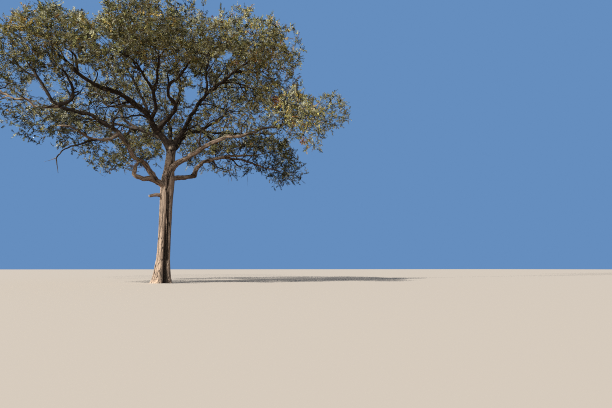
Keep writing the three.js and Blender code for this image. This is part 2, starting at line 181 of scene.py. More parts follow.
# Name, parent, part of the parent's length where it starts, diameters at both ends, and bends to the tip
BOUGHS = [
    ("bough_left_low", "trunk", 0.69, (0.42, 0.2),
     [(-0.65, -0.55, 6.72), (-1.1, -0.9, 6.84), (-1.6, -1.25, 6.72), (-2, -1.5, 6.82),
      (-1.8, -1.35, 7.9)]),
    ("bough_left_reach", "bough_left_low", 0.3, (0.34, 0.12),
     [(-1.3, -1.1, 7.55), (-2.2, -1.6, 8.1), (-2.5, -1.9, 8.6), (-3.3, -2.3, 9.4),
      (-4.8, -2.8, 10.1), (-6.3, -3.2, 10.3), (-7, -3.6, 11.3), (-7.8, -4, 12.4)]),
    ("bough_left_upright", "bough_left_reach", 0.72, (0.2, 0.1),
     [(-5.6, -3, 10.7), (-5.5, -3.2, 11.3), (-6.2, -3.8, 12.5)]),
    ("bough_left_outer", "bough_left_reach", 0.71, (0.13, 0.06),
     [(-7.2, -3.8, 9.9), (-7.5, -4, 10.1), (-8, -4.2, 9.9), (-8.5, -4.3, 10.2), (-9.8, -2.6, 11.6)]),
    ("bough_left_level", "bough_left_reach", 0.37, (0.18, 0.1),
     [(-3.6, -2.6, 8.7), (-4.4, -3, 8.5), (-5.4, -3.8, 8.9), (-6.2, -4, 8.8)]),
    ("bough_left_hanging", "bough_left_level", 0.38, (0.1, 0.05),
     [(-4.7, -3.3, 8.15), (-5.4, -3.8, 7.6), (-5.8, -4.1, 6.9), (-5.6, -4.2, 6.1)]),
    ("bough_left_high", "trunk", 0.97, (0.48, 0.14),
     [(-0.3, -0.1, 9.7), (-0.9, -0.3, 10.3), (-1.3, -0.5, 11), (-1.8, -0.7, 11.5),
      (-3.2, -1.2, 12.1), (-4.7, -2, 12.4), (-5.5, -2.6, 12.7), (-6.6, -3.5, 13.5)]),
    ("bough_left_inner", "bough_left_high", 0.35, (0.2, 0.1),
     [(-2.8, 0, 11.9), (-3.7, 0.8, 12), (-4.5, 1.6, 12.5), (-5.4, 2.4, 14.2)]),
    ("bough_rise_right", "bough_left_high", 0.18, (0.3, 0.12),
     [(-0.4, -0.6, 10.8), (0.2, -1.2, 11.8), (-0.25, -1.9, 12.3), (-0.2, -2.6, 12.8),
      (0.3, -2.9, 13.1), (1, -3.9, 14.1)]),
    ("bough_rise_left", "bough_left_high", 0.27, (0.24, 0.12),
     [(-1, -0.7, 11.6), (-1.2, -1.5, 12.5), (-1, -2.4, 13.1), (-0.9, -4, 14.2)]),
    ("bough_rise_far_left", "bough_rise_left", 0.42, (0.16, 0.09),
     [(-1.6, -2, 13.1), (-2.2, -3.2, 13.6), (-3.2, -4.6, 13.5)]),
    ("bough_right_high", "trunk", 0.99, (0.36, 0.12),
     [(0.5, 0.4, 10.1), (1.1, 0.7, 11.3), (2, 0.8, 13.3), (2.5, 0.6, 13.9),
      (3.3, 0.2, 14.6), (4.9, -1.6, 15.6), (5.4, -2.8, 15.9)]),
    ("bough_right_upright", "bough_right_high", 0.5, (0.18, 0.09),
     [(2.4, 0.4, 14.5), (2.3, 0, 15.1), (2.3, -1.4, 15.4), (2.1, -3.4, 15)]),
    ("bough_right_inner", "bough_right_high", 0.63, (0.16, 0.08),
     [(4.6, 0.5, 15), (5.7, 0.8, 14.8), (6.4, 1.1, 14.5)]),
    ("bough_right_shoulder", "bough_right_high", 0.76, (0.14, 0.08),
     [(5.2, -1, 15.2), (6.6, -1.5, 15.4)]),
    ("bough_right_main", "trunk", 0.8, (0.4, 0.05),
     [(0.5, -0.3, 8), (1, -0.6, 8.4), (2.1, -1.3, 9), (3.6, -1.9, 9.8),
      (4.5, -2.2, 9.9), (6.1, -2.8, 10.4), (7.2, -3.4, 10.6), (8, -4.6, 11.2)]),
    ("bough_centre_spur", "bough_right_main", 0.27, (0.14, 0.08),
     [(1.9, -1.5, 9.6), (2.3, -1.2, 10.6), (2.9, -1, 11.4)]),
    ("bough_right_far", "bough_right_main", 0.8, (0.13, 0.08),
     [(8.2, -2.2, 11.6), (9.2, -1.2, 12.3), (11, -0.4, 13)]),
    ("bough_right_elbow", "trunk", 0.755, (0.34, 0.3),
     [(1, 0.6, 7.3), (1.85, 1.12, 7.52)]),
    ("bough_right_rise", "bough_right_elbow", 0.96, (0.3, 0.12),
     [(2.25, 1.4, 8.6), (3.1, 1.8, 9.1), (4.2, 2, 9.5), (5.2, 1.8, 9.6), (6.9, 1.5, 9.8)]),
    ("bough_right_sweep", "bough_right_rise", 0.5, (0.17, 0.1),
     [(5.2, 2.4, 9.5), (6.2, 2.4, 9.3), (7.1, 2.2, 9), (8.5, 1.8, 8.7)]),
    ("bough_back_left", "trunk", 0.94, (0.34, 0.14),
     [(-0.6, 1.4, 10.2), (-1.8, 3, 11.2), (-3.4, 4.2, 12.4), (-4.1, 4.9, 14.6)]),
    ("bough_back_left_outer", "bough_back_left", 0.5, (0.2, 0.1),
     [(-4, 3.8, 11.8), (-6.2, 4.2, 12.2), (-8, 4.4, 12.8)]),
    ("bough_back_left_low", "bough_back_left", 0.6, (0.18, 0.1),
     [(-3, 5.4, 11.9), (-3.7, 8, 12.5)]),
    ("bough_back_mid", "trunk", 0.98, (0.28, 0.12),
     [(0, 1.2, 11), (-0.3, 3, 12.8), (-0.6, 5.3, 15.2)]),
    ("bough_back_right", "trunk", 0.955, (0.32, 0.14),
     [(1, 1.5, 10.6), (2.4, 3.2, 12), (4, 4.4, 13.4), (4.9, 5.4, 15)]),
    ("bough_back_right_outer", "bough_back_right", 0.42, (0.2, 0.1),
     [(4.2, 3.8, 12), (6.6, 4.4, 12.3), (8.8, 4.8, 12.8)]),
    ("bough_back_right_low", "bough_back_right", 0.5, (0.18, 0.1),
     [(3.2, 5.4, 12), (3.6, 8.2, 12.5)]),
    ("bough_top_left", "bough_left_high", 0.29, (0.2, 0.1),
     [(-2.2, -0.5, 13), (-3.6, -0.7, 15.2)]),
    ("bough_top_centre", "bough_rise_right", 0.3, (0.2, 0.1),
     [(0.5, -0.4, 13.6), (0.1, 0.4, 16.2)]),
    ("bough_top_right", "bough_right_high", 0.56, (0.15, 0.09),
     [(3.2, 0.8, 15.2), (3.9, 1, 16.6)]),
]

# Side limbs too slender for nodes of their own, in the same columns
SIDE_LIMBS = [
    ("limb_left_high_fork", "bough_left_high", 0.82, (0.17, 0.06),
     [(-5.6, -2.4, 13.2), (-5.7, -2.5, 13.7), (-5.9, -2.8, 13.9), (-6.1, -3.2, 13.8), (-6.1, -3.6, 14.1)]),
    ("limb_left_high_spur", "bough_left_high", 0.7, (0.08, 0.03),
     [(-4.6, -1.8, 13.2), (-4.8, -2.2, 13.4), (-5, -2.6, 13.7)]),
    ("limb_left_high_fall", "bough_left_high", 0.43, (0.11, 0.04),
     [(-2.9, -0.9, 11.8), (-3.6, -1.2, 11.3), (-4.4, -1.5, 11.1), (-4.8, -1.7, 11.3)]),
    ("limb_left_high_foot", "bough_left_high", 0.25, (0.13, 0.05),
     [(-1.9, -0.5, 11.2), (-2.8, -0.8, 10.8), (-3.4, -1.1, 10.6), (-3.7, -1.2, 10.1)]),
    ("limb_left_upright_strut", "bough_left_upright", 0.41, (0.07, 0.03),
     [(-5.2, -2.9, 11.4), (-5, -2.7, 11.7)]),
    ("limb_left_reach_peg", "bough_left_reach", 0.66, (0.05, 0.03),
     [(-5.1, -2.9, 10.6), (-5.2, -3, 10.9)]),
    ("limb_left_reach_spur", "bough_left_reach", 0.47, (0.08, 0.03),
     [(-3.8, -2.4, 10.3), (-3.7, -2.3, 10.7), (-3.5, -2.1, 11)]),
    ("limb_left_reach_twin", "bough_left_reach", 0.42, (0.08, 0.03),
     [(-3.3, -2.3, 10.2), (-3.2, -2.2, 10.6)]),
    ("limb_left_reach_far", "bough_left_reach", 0.9, (0.11, 0.05),
     [(-7.7, -3.8, 11.7), (-8, -3.9, 11.9), (-8.3, -4, 12.2), (-8.8, -4.1, 12.3)]),
    ("limb_left_hanging_hook", "bough_left_hanging", 0.76, (0.04, 0.015),
     [(-6.1, -4, 6.8), (-6.4, -4, 6.7)]),
    ("limb_left_low_hook", "bough_left_low", 0.85, (0.05, 0.02),
     [(-2.3, -1.5, 7.4), (-2.5, -1.5, 7.2), (-2.6, -1.5, 7), (-2.5, -1.5, 6.8)]),
    ("limb_left_low_droop", "bough_left_low", 0.95, (0.04, 0.012),
     [(-2.4, -1.5, 7.7), (-2.9, -1.7, 7.3), (-3.2, -1.8, 7), (-3.4, -1.8, 6.8), (-3.6, -1.9, 6.5)]),
    ("limb_rise_far_left_up", "bough_rise_far_left", 0.33, (0.12, 0.05),
     [(-2.3, -2.5, 13.7), (-2.6, -2.7, 14.1), (-3, -3, 14.3), (-3.4, -3.4, 14.2)]),
    ("limb_rise_far_left_low", "bough_rise_far_left", 0.4, (0.07, 0.03),
     [(-2.4, -2.7, 13.5), (-3, -2.8, 13.6), (-3.8, -3, 13.4)]),
    ("limb_rise_right_side", "bough_rise_right", 0.6, (0.11, 0.05),
     [(-0.2, -2.3, 13.8), (0.5, -2.2, 14), (1, -2.1, 14.7)]),
    ("limb_right_upright_fork", "bough_right_upright", 0.3, (0.1, 0.04),
     [(2.6, 0, 15.7), (3, -0.5, 16.2), (3.2, -0.8, 16.5)]),
    ("limb_right_high_curl", "bough_right_high", 0.66, (0.09, 0.04),
     [(3.8, 0, 15.4), (3.7, -0.2, 15.8), (3.4, -0.4, 16.1)]),
    ("limb_right_high_level", "bough_right_high", 0.56, (0.11, 0.05),
     [(4, 0.3, 14.5), (4.6, 0.2, 14.5), (5.2, 0.1, 14.5), (6.2, -0.1, 14.2)]),
    ("limb_right_high_low", "bough_right_high", 0.4, (0.1, 0.04),
     [(2.6, 0.5, 13), (3.3, 0.3, 12.7), (4, 0.1, 12.6), (4.8, -0.2, 12)]),
    ("limb_centre", "bough_right_high", 0.09, (0.15, 0.06),
     [(1, 0.3, 10.6), (1.5, 0.2, 11), (2.1, 0.1, 11.5), (2.6, -0.1, 11.7)]),
    ("limb_right_main_peg", "bough_right_main", 0.28, (0.09, 0.05),
     [(1.8, -1.1, 9.5), (1.6, -1.1, 9.8)]),
    ("limb_right_main_curl", "bough_right_main", 0.15, (0.07, 0.03),
     [(0.9, -0.4, 8.7), (1, -0.3, 9.2), (1.2, -0.3, 9.5)]),
    ("limb_right_main_rise", "bough_right_main", 0.56, (0.1, 0.04),
     [(4.7, -2.2, 10.6), (5.1, -2, 11.2), (5.3, -1.8, 11.8)]),
    ("limb_right_main_fall", "bough_right_main", 0.81, (0.07, 0.03),
     [(7.2, -3, 10.5), (7.6, -3, 10.2), (8.1, -3, 10)]),
    ("limb_right_rise_hook", "bough_right_rise", 0.36, (0.1, 0.05),
     [(3.6, 1.9, 8.6), (4.1, 2, 8.5), (4.5, 2, 8.3), (4.6, 2, 8), (4.7, 2, 7.6)]),
    ("limb_right_rise_droop", "bough_right_rise", 0.58, (0.03, 0.01),
     [(4.4, 2.2, 8.9), (4.5, 2.2, 8.1), (4.4, 2.2, 7.3)]),
    ("limb_right_sweep_fork", "bough_right_sweep", 0.13, (0.1, 0.05),
     [(4.8, 2.2, 9.3), (5.3, 2.3, 8.9), (5.6, 2.3, 9), (6.3, 2.3, 9.2)]),
    ("limb_right_sweep_droop", "bough_right_sweep", 0.44, (0.03, 0.01),
     [(5.9, 2.3, 8.5), (6, 2.3, 7.9), (6, 2.3, 7.3)]),
]

# Side branches dealt out along the boughs, smaller ones along these, and twigs along the smaller ones:
# the part of the parent where they begin, the length of parent for each, their lengths, diameters,
# sides and length between rings
BRANCH_KINDS = [
    (0.22, 0.45, (0.8, 2.3), (0.05, 0.1), 7, 0.08),
    (0.25, 0.42, (0.5, 1.3), (0.034, 0.062), 4, 0.1),
    (0.2, 0.34, (0.3, 0.8), (0.022, 0.036), 3, 0.13),
]
# The angle between a branch and its parent, how much its side of the parent is lifted, its tip's width
# beside its foot's, how much it curves and how much of that is upwards, and its least height
BRANCH_ANGLES = (math.radians(35), math.radians(80))
BRANCH_LIFT = 0.3
BRANCH_TIP = 0.3
BRANCH_CURL = 0.12
BRANCH_RISE = 0.3
BRANCH_FLOOR = 8.3
# Its crooks, and how many lines' worth of noise they are drawn from
BRANCH_CROOKS = [(1.0, 0.2), (2.9, 0.06)]
BRANCH_PATTERNS = 50
# The seed of the largest branches; the other kinds take the next ones
BRANCH_SEED = 31

# Growth: places per cubic metre that twigs grow towards, the length of one step, how near a place
# counts as reached, how far twigs stray, the most rounds of growth, the most steps that start from one
# point, and how far twigs may leave their mass
PLACES_PER_CUBE = 25
GROWTH_STEP = 0.2
REACHED = 0.26
STRAY = 0.28
GROWTH_ROUNDS = 60
MOST_CHILDREN = 3
FRINGE = 0.22
# Masses that grow out farther above or below: how far above, and how far below
MASS_REACH = {"foliage_front_left": (0.5, FRINGE), "foliage_front_mid_left": (0.5, FRINGE),
              "foliage_front_centre": (0.95, FRINGE), "foliage_front_mid_right": (0.55, FRINGE),
              "foliage_front_right": (0.45, FRINGE), "foliage_front_far_right": (FRINGE, 0.7),
              "foliage_trunk_left": (FRINGE, 0.5)}
# Twigs start on limbs inside a mass or this near it, from every ninth point of the line, and from none in
# the first eighth of the limb
FOOTHOLD = 1.2
FOOTHOLD_STEPS = 9
BARE_FOOT = 8
# The outer layer of a mass is full, and its heart is thinner
LEAFY_LAYER = 0.75
HEART_FULLNESS = 0.5
# Clumps of growth: how many in a metre and how strong, the least value of the pattern that is leafy, and
# how much higher that is in a bare mass than in a full one
CLUMPS = [(0.9, 0.6), (2.1, 0.6)]
CLUMP_EDGE = -0.2
CLUMP_THINNING = 0.25

# Loose growth along the open limbs: places for each metre, how far they lie from the limb, how much they
# lie above it, how far they keep from the masses, the least height, the first sixth of the limb that bears
# none, and the look, with the columns of MASS_LOOKS
LOOSE_PER_METRE = 10
LOOSE_REACH = (0.2, 1.15)
LOOSE_LIFT = 0.15
LOOSE_CLEARANCE = 0.1
LOOSE_FLOOR = 8.1
LOOSE_BARE_FOOT = 6
LOOSE_LOOK = (0.65, 0.15, 0.25)
# Where the groups of side branches and of loose growth part: left, right and back
GROUP_LEFT = -1.6
GROUP_RIGHT = 1.6
GROUP_BACK = 1.9
# Seeds of the places in the masses, of the loose places, and of the growth towards these
MASS_PLACES_SEED = 1000
LOOSE_PLACES_SEED = 2000
LOOSE_GROWTH_SEED = 3000
# Loose tufts: middle, half width, and places in it
TUFTS = [((0.96, -0.8, 8.95), 0.5, 26), ((1.9, -0.6, 8.5), 0.5, 24), ((-1.1, -1, 8.3), 0.5, 26),
         ((-0.7, -0.6, 9), 0.4, 16), ((-4.2, -1.8, 7.5), 0.55, 22), ((-3.4, -1.8, 7.4), 0.6, 26),
         ((-4.7, -2, 8.1), 0.5, 24), ((8.5, -4.5, 9.5), 0.6, 40), ((9.5, -4, 9.7), 0.6, 40),
         ((9.1, -4, 9.1), 0.5, 14), ((11, -1, 11.2), 0.5, 14), ((8, 1.6, 7.4), 0.5, 18),
         ((-5.4, -3.4, 8.6), 0.6, 30), ((0.2, -5, 16.1), 0.5, 26), ((0.2, -5, 15.5), 0.5, 22),
         ((5.6, -4, 12), 0.8, 42), ((6.5, -4, 11.3), 0.7, 36), ((7.2, -4, 12.3), 0.7, 34),
         ((5.4, -3, 11.4), 0.6, 24), ((6.4, -3, 13.5), 0.7, 30), ((4.4, -2.5, 12), 0.6, 20),
         ((8.3, -2, 14.8), 0.5, 18), ((8.4, -2, 13.9), 0.5, 22), ((-2.5, -2, 13.1), 0.5, 24),
         ((-2.8, -3, 12.7), 0.4, 16), ((-7.2, -3.5, 13.1), 0.5, 24), ((-8.7, -3.4, 9.4), 0.5, 20),
         ((-8.6, -3.4, 8.8), 0.4, 10), ((-5.1, -3.4, 8.3), 0.5, 24), ((-1.3, -1, 8), 0.4, 16),
         ((0.5, -5, 17.1), 0.5, 26), ((-1.5, -5, 16.5), 0.5, 18), ((-1, -5, 16.8), 0.5, 18),
         ((-7.5, -4, 14.3), 0.5, 22), ((-6.3, -3, 15.2), 0.5, 26), ((3.7, -3.5, 17.5), 0.5, 18),
         ((3.3, -1, 13.6), 0.5, 24), ((5.7, -2, 14.4), 0.5, 18), ((-4.1, -1.5, 10.7), 0.5, 26),
         ((3.7, 0.5, 8.8), 0.4, 16), ((-2.5, -1.4, 7), 0.3, 12), ((9.7, 1.5, 9.6), 0.4, 16),
         ((11.5, -1.5, 11.7), 0.4, 18), ((-0.6, -2, 12.7), 0.4, 18), ((1.6, 0, 8.6), 0.4, 16),
         ((-3.8, -1.5, 8.6), 0.5, 20), ((-3.5, -1.5, 7.2), 0.4, 16), ((9.5, 1.5, 9.8), 0.4, 14),
         ((2.2, -2, 9.1), 0.4, 16), ((3.3, -2.6, 9.8), 0.4, 18), ((5.2, -3, 10.3), 0.4, 16)]

# Twigs: radius at a tip, the power of the number of tips carried that it grows with, the most that it may
# be, the radii above which a twig is thick and is not thin, and the sides of thick twigs and of the others
TIP_RADIUS = 0.005
RADIUS_POWER = 0.46
MOST_RADIUS = 0.04
THICK_TWIG = 0.016
THIN_TWIG = 0.0075
THICK_SIDES = 5
THIN_SIDES = 3
# How much wider a twig starts than it goes on, and the direction that its first ring is turned to
TWIG_COLLAR = 1.1
RING_START = Vector((0.31, 0.52, 0.79))

# Sprays: the most tips that a twig with sprays carries, the mean number of sprays on it, the part of it
# that has them, a spray's shortest and greatest length, and its middle beside the shortest
BEARING_LOAD = 3
SPRAYS_PER_TWIG = 1.6
BEARING_PART = 0.9
SPRAY_LENGTH = (0.22, 0.44)
SPRAY_MIDDLE = 0.7
# How much a spray follows its twig, strays from it and rises, and how much its plane tilts
SPRAY_FORWARD = 0.75
SPRAY_STRAY = 0.9
SPRAY_RISE = 0.12
SPRAY_TILT = 0.75
# A spray's stem: sides, and its radius beside a twig's tip
STEM_SIDES = 3
STEM_WIDTH = 0.9
# Leaves of a spray: how many, and where the first one stands, as a part of the space between two
SPRAY_LEAVES = 14
FIRST_LEAF = 0.6
# A leaf: length, how that varies, width and the lift of its sides beside the length, and the widest place
LEAF_LENGTH = 0.088
LEAF_SIZES = (0.72, 1.15)
LEAF_WIDTH = 0.58
LEAF_FOLD = 0.16
LEAF_WIDEST = 0.46
# A leaf's corners are its base, a side, its tip and the other side
LEAF_CORNERS = 4
LEAF_FACES = [(0, 1, 2), (0, 2, 3)]
# The angle between leaf and stem and how much it varies, how much the last leaf turns from the stem, and
# how much leaves stray, droop and tilt
LEAF_ANGLE = math.radians(52)
ANGLE_SPREAD = 0.3
LAST_LEAF_SPREAD = 0.25
LEAF_STRAY = 0.28
LEAF_DROOP = 0.1
LEAF_TILT = 0.5

# How full a mass is beside the fullest, how yellow its leaves are, which in the centre right mass is
# painted light, and the share of sprays turned to the deep tint, painted shade that is greatest in the low
# masses
MASS_LOOKS = {
    "foliage_front_left": (1.15, 0.32, 0.0),
    "foliage_left_outer": (0.55, 0.25, 0.15),
    "foliage_left_low": (0.62, 0.15, 0.3),
    "foliage_left_low_inner": (0.6, 0.1, 0.35),
    "foliage_trunk_left": (1.15, 0.2, 0.0),
    "foliage_left_inner": (0.7, 0.15, 0.25),
    "foliage_front_far_right": (0.6, 0.6, 0.0),
    "foliage_right_outer": (0.7, 0.6, 0.0),
    "foliage_right_tip": (0.45, 0.5, 0.0),
    "foliage_right_inner": (0.7, 0.3, 0.1),
    # Painted light: yellow tints lift the centre right mass, which lies in the crown's shade
    "foliage_centre_right": (1.1, 0.8, 0.0),
    "foliage_right_low": (0.75, 0.0, 0.35),
    "foliage_right_lowest": (0.6, 0.0, 0.35),
    "foliage_right_shoulder": (1.0, 0.45, 0.0),
    "foliage_front_right": (1.0, 0.4, 0.0),
}
USUAL_LOOK = (1.0, 0.3, 0.0)

# Spaces where the photograph shows sky or thin growth through the crown: middle, half width and half
# height in pixels, and the share of the growth that stays. All the spaces have uneven edges.
SKY_SPACES = [
    (190, 95, 7, 9, 0.05),
    (36, 88, 7, 11, 0.0),
    (56, 90, 7, 9, 0.35),
    (34, 97, 28, 14, 0.45),
    (8, 94, 16, 14, 0.55),
    (76, 94, 11, 11, 0.6),
    (85, 70, 7, 7, 0.15),
    (100, 62, 40, 22, 0.8),
    (95, 77, 14, 6, 0.4),
    (118, 112, 28, 18, 0.75),
    (170, 88, 8, 14, 0.5),
    (206, 146, 5, 4, 0.2),
    (158, 160, 4, 4, 0.1),
    (107, 145, 7, 4, 0.3),
    (228, 56, 4, 6, 0.0),
    (218, 64, 10, 9, 0.5),
    (234, 113, 18, 12, 0.65),
    (256, 126, 36, 10, 0.6),
    (280, 134, 8, 6, 0.2),
    (292, 42, 8, 10, 0.3),
    (246, 1, 9, 6, 0.0),
    (30, 3, 8, 6, 0.2),
    (91, 6, 10, 14, 0.15),
    (212, 10, 9, 9, 0.1),
    (293, 144, 6, 4, 0.2),
    (306, 90, 7, 6, 0.2),
    (104, 42, 8, 6, 0.15),
    (8, 6, 13, 9, 0.1),
    (258, 12, 8, 7, 0.1),
    (4, 15, 8, 7, 0.4),
    (66, 66, 8, 7, 0.5),
    (104, 152, 9, 5, 0.5),
    (17, 78, 7, 5, 0.5),
    (42, 78, 6, 6, 0.4),
    (122, 126, 16, 6, 0.4),
    (260, 2, 9, 6, 0.0),
    (293, 134, 7, 10, 0.45),
    (186, 66, 6, 6, 0.6),
    (78, 30, 8, 6, 0.6),
    (97, 30, 10, 6, 0.75),
    (282, 76, 5, 6, 0.5),
    (48, 138, 12, 5, 0.3),
    (203, 136, 9, 6, 0.5),
    (314, 100, 10, 6, 0.6),
    (76, 4, 9, 7, 0.05),
    (98, 5, 6, 8, 0.1),
    (281, 17, 7, 8, 0.1),
    (213, 128, 9, 10, 0.5),
    (318, 88, 12, 6, 0.25),
    (270, 183, 8, 5, 0.2),
    (100, 138, 8, 8, 0.5),
    (44, 118, 12, 8, 0.7),
]

# Spaces where twigs are barer: the same columns, with the share of the sprays that stays
BARE_SPACES = [
    (112, 92, 68, 34, 0.6),
    (150, 76, 34, 22, 0.65),
    (236, 84, 34, 16, 0.7),
    (240, 122, 56, 26, 0.75),
    (120, 140, 60, 18, 0.8),
]
# Waves in the edge of a space: how many in a turn, and how strong
EDGE_WAVES = [(3, 0.3), (5, 0.2)]

# Limbs that the photograph shows in front of the crown or through it. Growth that would hide them is
# thin up to some pixels on both sides.
SEEN_LIMBS = ["bough_left_reach", "bough_left_upright", "bough_left_level", "bough_left_high",
              "bough_rise_right", "bough_rise_left", "bough_rise_far_left", "bough_right_high",
              "bough_right_upright", "bough_right_main", "bough_right_elbow", "bough_right_rise",
              "bough_right_sweep", "limb_left_high_fork", "limb_left_high_foot", "limb_left_high_fall",
              "limb_right_high_low", "limb_centre"]
SEEN_MARGIN = 2.4
SEEN_SHARE = 0.16
# The part of a limb from which growth closes again towards the tip, and two limbs where it closes sooner
SEEN_PART = 0.8
HALF_SEEN = {"bough_right_main": 0.15, "bough_right_rise": 0.4}
# Growth hides a limb when it is this much nearer to the camera, and every third point of a limb is asked
HIDING_DEPTH = 0.15
SEEN_STEPS = 3

# Leaf tints, with the share of the green sprays and of the yellow ones that has each. The deep olive is
# painted shade.
LEAF_TINTS = [
    ("leaf_deep_olive", (0.050, 0.054, 0.026), 0.22, 0.10),
    ("leaf_olive", (0.205, 0.220, 0.078), 0.26, 0.16),
    ("leaf_grey_olive", (0.330, 0.335, 0.240), 0.22, 0.10),
    ("leaf_pale_olive", (0.410, 0.410, 0.270), 0.20, 0.14),
    ("leaf_yellow_olive", (0.410, 0.375, 0.125), 0.10, 0.32),
    ("leaf_gold", (0.480, 0.350, 0.090), 0.0, 0.14),
    ("leaf_rust", (0.380, 0.190, 0.055), 0.0, 0.03),
    ("leaf_dead_brown", (0.300, 0.140, 0.055), 0.0, 0.01),
]
# Painted shade: the deep olive tint
SHADE_TINT = 0
DEAD_TINT = 7
LEAF_ROUGHNESS = 0.55
LEAF_GLOSS = 0.25
# Places where leaves are yellower and deeper, or less so: middle, radius, and how much of each. At the
# second place the yellower, less deep leaves are painted light, and at the fourth and fifth the deeper
# leaves are painted shade
TINT_PLACES = [((7, -3, 12.2), 3.4, 0.55, -0.25), ((1.8, -1, 10.3), 2.2, 0.6, -0.25),
               ((-7.5, -4, 14), 2.5, 0.2, 0.0), ((6.8, 1.5, 8.6), 2.8, -0.4, 0.4),
               ((-6.5, -3, 9.4), 3.2, -0.2, 0.6), ((-2.5, -1.8, 8.2), 1.8, 0.1, -0.3)]
# Yellow patches: how many in a metre, and how strongly they stand out
PATCH_SCALE = 0.42
PATCH_CONTRAST = 0.7
# Brown clusters on the front of the crown: middle and half width in pixels, and how far back the front
# reaches
DEAD_CLUSTERS = [(236, 63, 3.2), (275, 101, 4), (276, 132, 3), (303, 138, 3.4)]
FRONT_REACH = 1.5

# Bark colours: plates in the light and in the shade, the bottoms of fissures, also painted shade in
# fissures and grooves, painted shade on high limbs, and bare wood, also used for painted highlights
BARK_LIGHT = (0.60, 0.465, 0.36)
BARK_MID = (0.34, 0.25, 0.19)
BARK_DARK = (0.035, 0.026, 0.020)
# Painted shade on the high limbs in the crown
BARK_PAINTED_SHADE = (0.022, 0.017, 0.014)
# Bare wood, also the colour of painted highlights on the outer left limbs
BARE_WOOD_AND_HIGHLIGHT = (0.50, 0.40, 0.30)
BARK_GLOSS = 0.25
# How bright the boughs' plates are beside the trunk's, and the scale of the grain on trunk and boughs
BOUGH_BRIGHTNESS = 0.88
TRUNK_GRAIN = 34
BOUGH_GRAIN = 75
# Painted shade: the bark turns from tan to dark brown between two heights, which are others on some limbs
SHADE_HEIGHTS = (7.8, 9.0)
SHADE_LIMBS = {"trunk": (7.6, 9.6), "bough_right_main": (9.85, 10.3), "bough_right_elbow": (6.8, 8.2),
             "bough_left_outer": (10.4, 11.6), "bough_left_hanging": (4, 6),
             "bough_right_rise": (9.6, 10.6), "bough_right_sweep": (9.2, 10.2),
             "bough_left_level": (8.8, 9.6), "bough_left_reach": (8.2, 9.6)}
# The least share of the plates' own colour that high limbs keep under their painted shade
LEAST_UNSHADED = 0.1
# Scars of bare wood: place and half width, and how sharply they end. The first three, on the outer left
# limbs, are pale wood with a painted highlight
SCARS_AND_HIGHLIGHTS = [((-7.2, -3.8, 9.9), 0.45), ((-8.1, -4.2, 9.9), 0.4), ((-6, -4, 8.8), 0.35),
         ((1.3, -0.85, 8.6), 0.14), ((3.7, -2, 9.85), 0.12), ((-3.4, -2.3, 9.5), 0.07),
         ((0.06, -0.3, 9.15), 0.1), ((-1.45, -1.05, 7.2), 0.10), ((-0.85, -2.6, 13.5), 0.09),
         ((-1.16, -0.47, 5.68), 0.11)]
SCAR_AND_HIGHLIGHT_EDGE = 4

# Twig tints, from thick to thin
TWIG_TINTS = [
    ("twig_dark_brown", (0.028, 0.021, 0.017)),
    ("twig_brown", (0.042, 0.032, 0.025)),
    ("twig_grey_brown", (0.080, 0.062, 0.047)),
]
TWIG_ROUGHNESS = 0.85
TWIG_GLOSS = 0.25

# The sockets of a Mix node that mixes colours
MIX_FACTOR = 0
MIX_FIRST = 6
MIX_SECOND = 7
MIX_RESULT = 2


# Small tools

# The least length that a vector is divided by
LEAST_LENGTH = 1e-9


def unit(vectors):
    """Vectors drawn to length 1, along the last axis."""
    length = np.linalg.norm(vectors, axis=-1, keepdims=True)
    return vectors / np.maximum(length, LEAST_LENGTH)


def smooth_step(low, high, x):
    """0 below low, 1 above high, and a smooth rise between."""
    part = np.clip((x - low) / (high - low), 0, 1)
    return part * part * (3 - 2 * part)


def inside_box(points):
    """Which points lie inside the CAD model's box."""
    low, high = (np.array(corner) for corner in cad_box)
    return ((points > low) & (points < high)).all(axis=1)


def mesh_object(name, points, triangles, tints=None, smooth=False):
    """Joined triangles as one object, each triangle with the place of its material in tints."""
    mesh = bpy.data.meshes.new(name)
    points = np.asarray(points, np.float32)
    triangles = np.asarray(triangles, np.int32)
    mesh.vertices.add(len(points))
    mesh.vertices.foreach_set("co", points.ravel())
    mesh.loops.add(triangles.size)
    mesh.loops.foreach_set("vertex_index", triangles.ravel())
    mesh.polygons.add(len(triangles))
    mesh.polygons.foreach_set("loop_start", np.arange(0, triangles.size, 3, dtype=np.int32))
    mesh.polygons.foreach_set("use_smooth", np.full(len(triangles), smooth))
    if tints is not None:
        mesh.polygons.foreach_set("material_index", np.asarray(tints, np.int32))
    mesh.update(calc_edges=True)
    made = bpy.data.objects.new(name, mesh)
    bpy.context.scene.collection.objects.link(made)
    return made


# Camera

def make_camera():
    """The camera at the photograph's angle."""
    data = bpy.data.cameras.new("photo_view")
    data.lens = LENS
    data.sensor_width = SENSOR
    data.clip_end = 2 * FLOOR_SIZE
    camera = bpy.data.objects.new("photo_view", data)
    camera.location = CAMERA_PLACE
    camera.rotation_euler = (math.pi / 2 + CAMERA_PITCH, 0, -CAMERA_YAW)
    bpy.context.scene.collection.objects.link(camera)
    bpy.context.scene.camera = camera


def pixels_of(points):
    """Where points fall in the photograph, in pixels from its upper left corner, and how far ahead of
    the camera they are."""
    sideways = np.array((math.cos(CAMERA_YAW), -math.sin(CAMERA_YAW), 0))
    level = np.array((math.sin(CAMERA_YAW), math.cos(CAMERA_YAW), 0))
    ahead = level * math.cos(CAMERA_PITCH) + np.array((0, 0, math.sin(CAMERA_PITCH)))
    upward = np.cross(sideways, ahead)
    away = np.asarray(points, float) - np.array(CAMERA_PLACE)
    depth = away @ ahead
    across = PHOTO_WIDTH / 2 + FOCAL_PIXELS * (away @ sideways) / depth
    down = PHOTO_HEIGHT / 2 - FOCAL_PIXELS * (away @ upward) / depth
    return across, down, depth


# Limb lines

